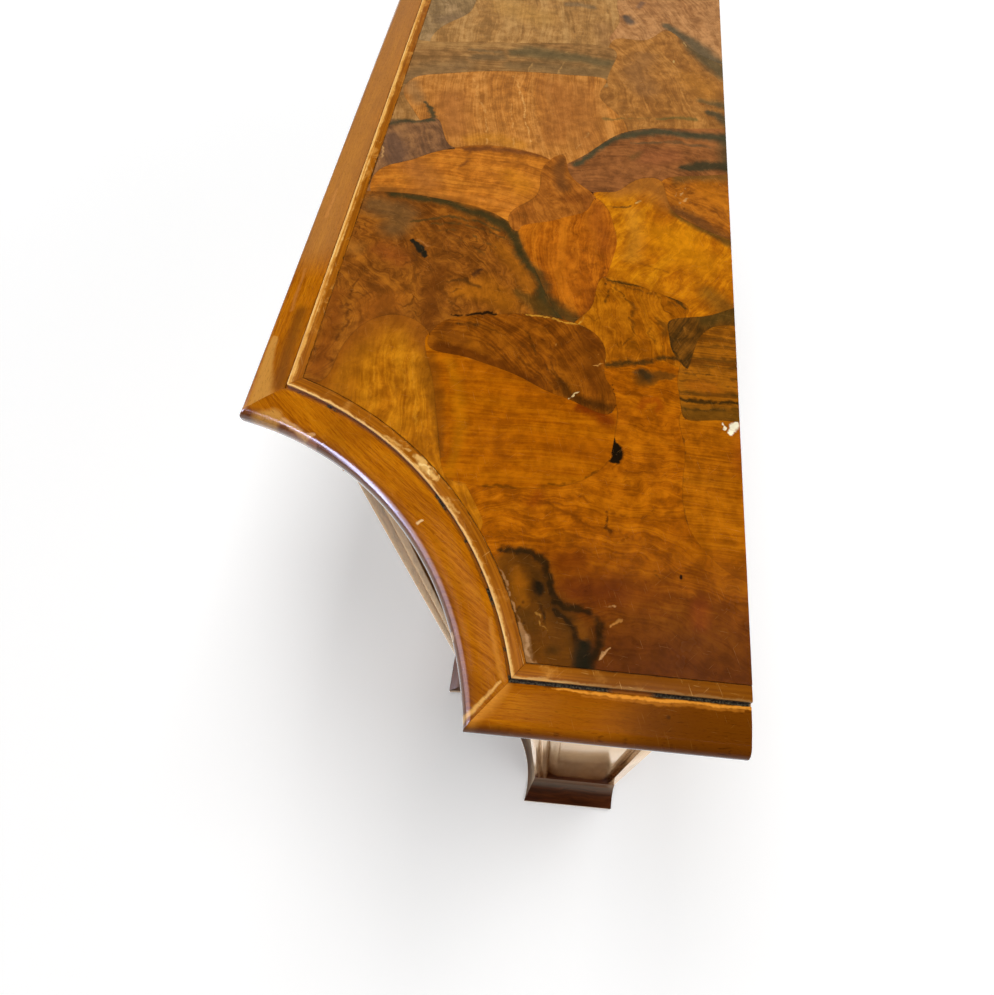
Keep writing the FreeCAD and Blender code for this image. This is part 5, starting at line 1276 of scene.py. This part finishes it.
# %% Floor
FLOOR_SIZE = 40.0
deselect()
bpy.ops.mesh.primitive_plane_add(size=FLOOR_SIZE, location=(0.0, 0.0, 0.0))
floor = bpy.context.object
floor.name = "floor"
finish = bpy.data.materials.new("white_floor")
finish.use_nodes = True
bench = Bench(finish.node_tree)
shader = finish.node_tree.nodes["Principled BSDF"].inputs
shader["Roughness"].default_value = 0.9
shader["Specular IOR Level"].default_value = 0.0
shader["Base Color"].default_value = (0.96, 0.96, 0.96, 1.0)
rays = bench.nodes.new("ShaderNodeLightPath").outputs
spread = bench.vector("LENGTH", bench.nodes.new("ShaderNodeTexCoord").outputs["Object"])
seen = bench.math("MULTIPLY", rays["Is Camera Ray"], bench.fade(spread, 0.7, 5.0, 0.21, 1.0))
mirrored = bench.math("MULTIPLY", rays["Is Glossy Ray"], 0.85)
shader["Emission Color"].default_value = (1.0, 1.0, 1.0, 1.0)
bench.feed(shader["Emission Strength"], bench.math("ADD", seen, mirrored))
floor.data.materials.append(finish)

# %% World and lamps
WHITE = (1.0, 1.0, 1.0)
NOSE_GLINT = (0.424, -0.089, 0.762)
world = bpy.data.worlds.new("studio")
bpy.context.scene.world = world
world.use_nodes = True
bench = Bench(world.node_tree)
background = world.node_tree.nodes["Background"].inputs
direction = bench.nodes.new("ShaderNodeTexCoord").outputs["Generated"]
rise = bench.split(direction)[2]
horizon = bench.fade(rise, 0.34, 0.66, 0.16, 0.01)
rays = bench.nodes.new("ShaderNodeLightPath").outputs
background["Color"].default_value = (1.0, 1.0, 1.0, 1.0)
bench.feed(background["Strength"], bench.math("MAXIMUM", horizon, rays["Is Camera Ray"]))


def lamp(name, place, aim, width, height, power, colour, reflected=True, lights=True):
    """A rectangular soft light that faces a point."""
    light = bpy.data.lights.new(name, "AREA")
    light.shape = "RECTANGLE"
    light.size = width
    light.size_y = height
    light.energy = power
    light.color = colour
    holder = bpy.data.objects.new(name, light)
    bpy.context.scene.collection.objects.link(holder)
    holder.location = place
    holder.rotation_euler = (Vector(aim) - Vector(place)).to_track_quat("-Z", "Y").to_euler()
    holder.visible_glossy = reflected
    holder.visible_diffuse = lights


lamp("ceiling behind", (0.1, 1.4, 6.0), (0.1, 1.4, 0.0), 3.5, 1.8, 206.0, WHITE, reflected=False)
lamp("ceiling in front", (0.1, -1.25, 6.0), (0.1, -1.25, 0.0), 3.5, 1.6, 130.0, WHITE, reflected=False)
lamp("window", (1.4, -2.65, 1.94), NOSE_GLINT, 0.35, 2.0, 105.0, (0.5, 0.62, 1.0), lights=False)
lamp("wall", (0.6, -3.0, 2.0), (0.42, -0.09, 0.76), 2.4, 2.4, 95.0, (0.96, 0.84, 0.96), lights=False)

# %% [markdown]
# ## Camera
# The picture was taken standing at the right end, looking steeply down along the table, with the camera a
# little tilted. The three turns below are applied one after the other: down, to the side, and round the
# line of sight. The frame was later cut off-centre, which a small shift of the lens repeats.

# %% Camera
CAMERA_PLACE = (0.6778, 0.05562, 1.2215)
FOCAL_PIXELS = 687.9
FRAME_PIXELS = 995
FRAME_MIDDLE = 497.0
LENS_MIDDLE = 563.85
SENSOR_WIDTH = 36.0
pitch, yaw, roll = (math.radians(turn) for turn in (61.038, 1.773, -7.553))
forward = Vector((-math.cos(pitch) * math.cos(yaw), math.cos(pitch) * math.sin(yaw), -math.sin(pitch)))
level_right = forward.cross(Vector((0, 0, 1))).normalized()
level_down = forward.cross(level_right)
right = math.cos(roll) * level_right + math.sin(roll) * level_down
down = -math.sin(roll) * level_right + math.cos(roll) * level_down

lens = bpy.data.cameras.new("photo_lens")
lens.sensor_width = SENSOR_WIDTH
lens.lens = SENSOR_WIDTH * FOCAL_PIXELS / FRAME_PIXELS
lens.shift_x = (FRAME_MIDDLE - LENS_MIDDLE) / FRAME_PIXELS
camera = bpy.data.objects.new("photo_camera", lens)
bpy.context.scene.collection.objects.link(camera)
turned = Matrix((right, -down, -forward)).transposed().to_4x4()
camera.matrix_world = Matrix.Translation(CAMERA_PLACE) @ turned
bpy.context.scene.camera = camera
bpy.context.scene.view_settings.view_transform = "Standard"
print("lens:", round(lens.lens, 2), "mm")
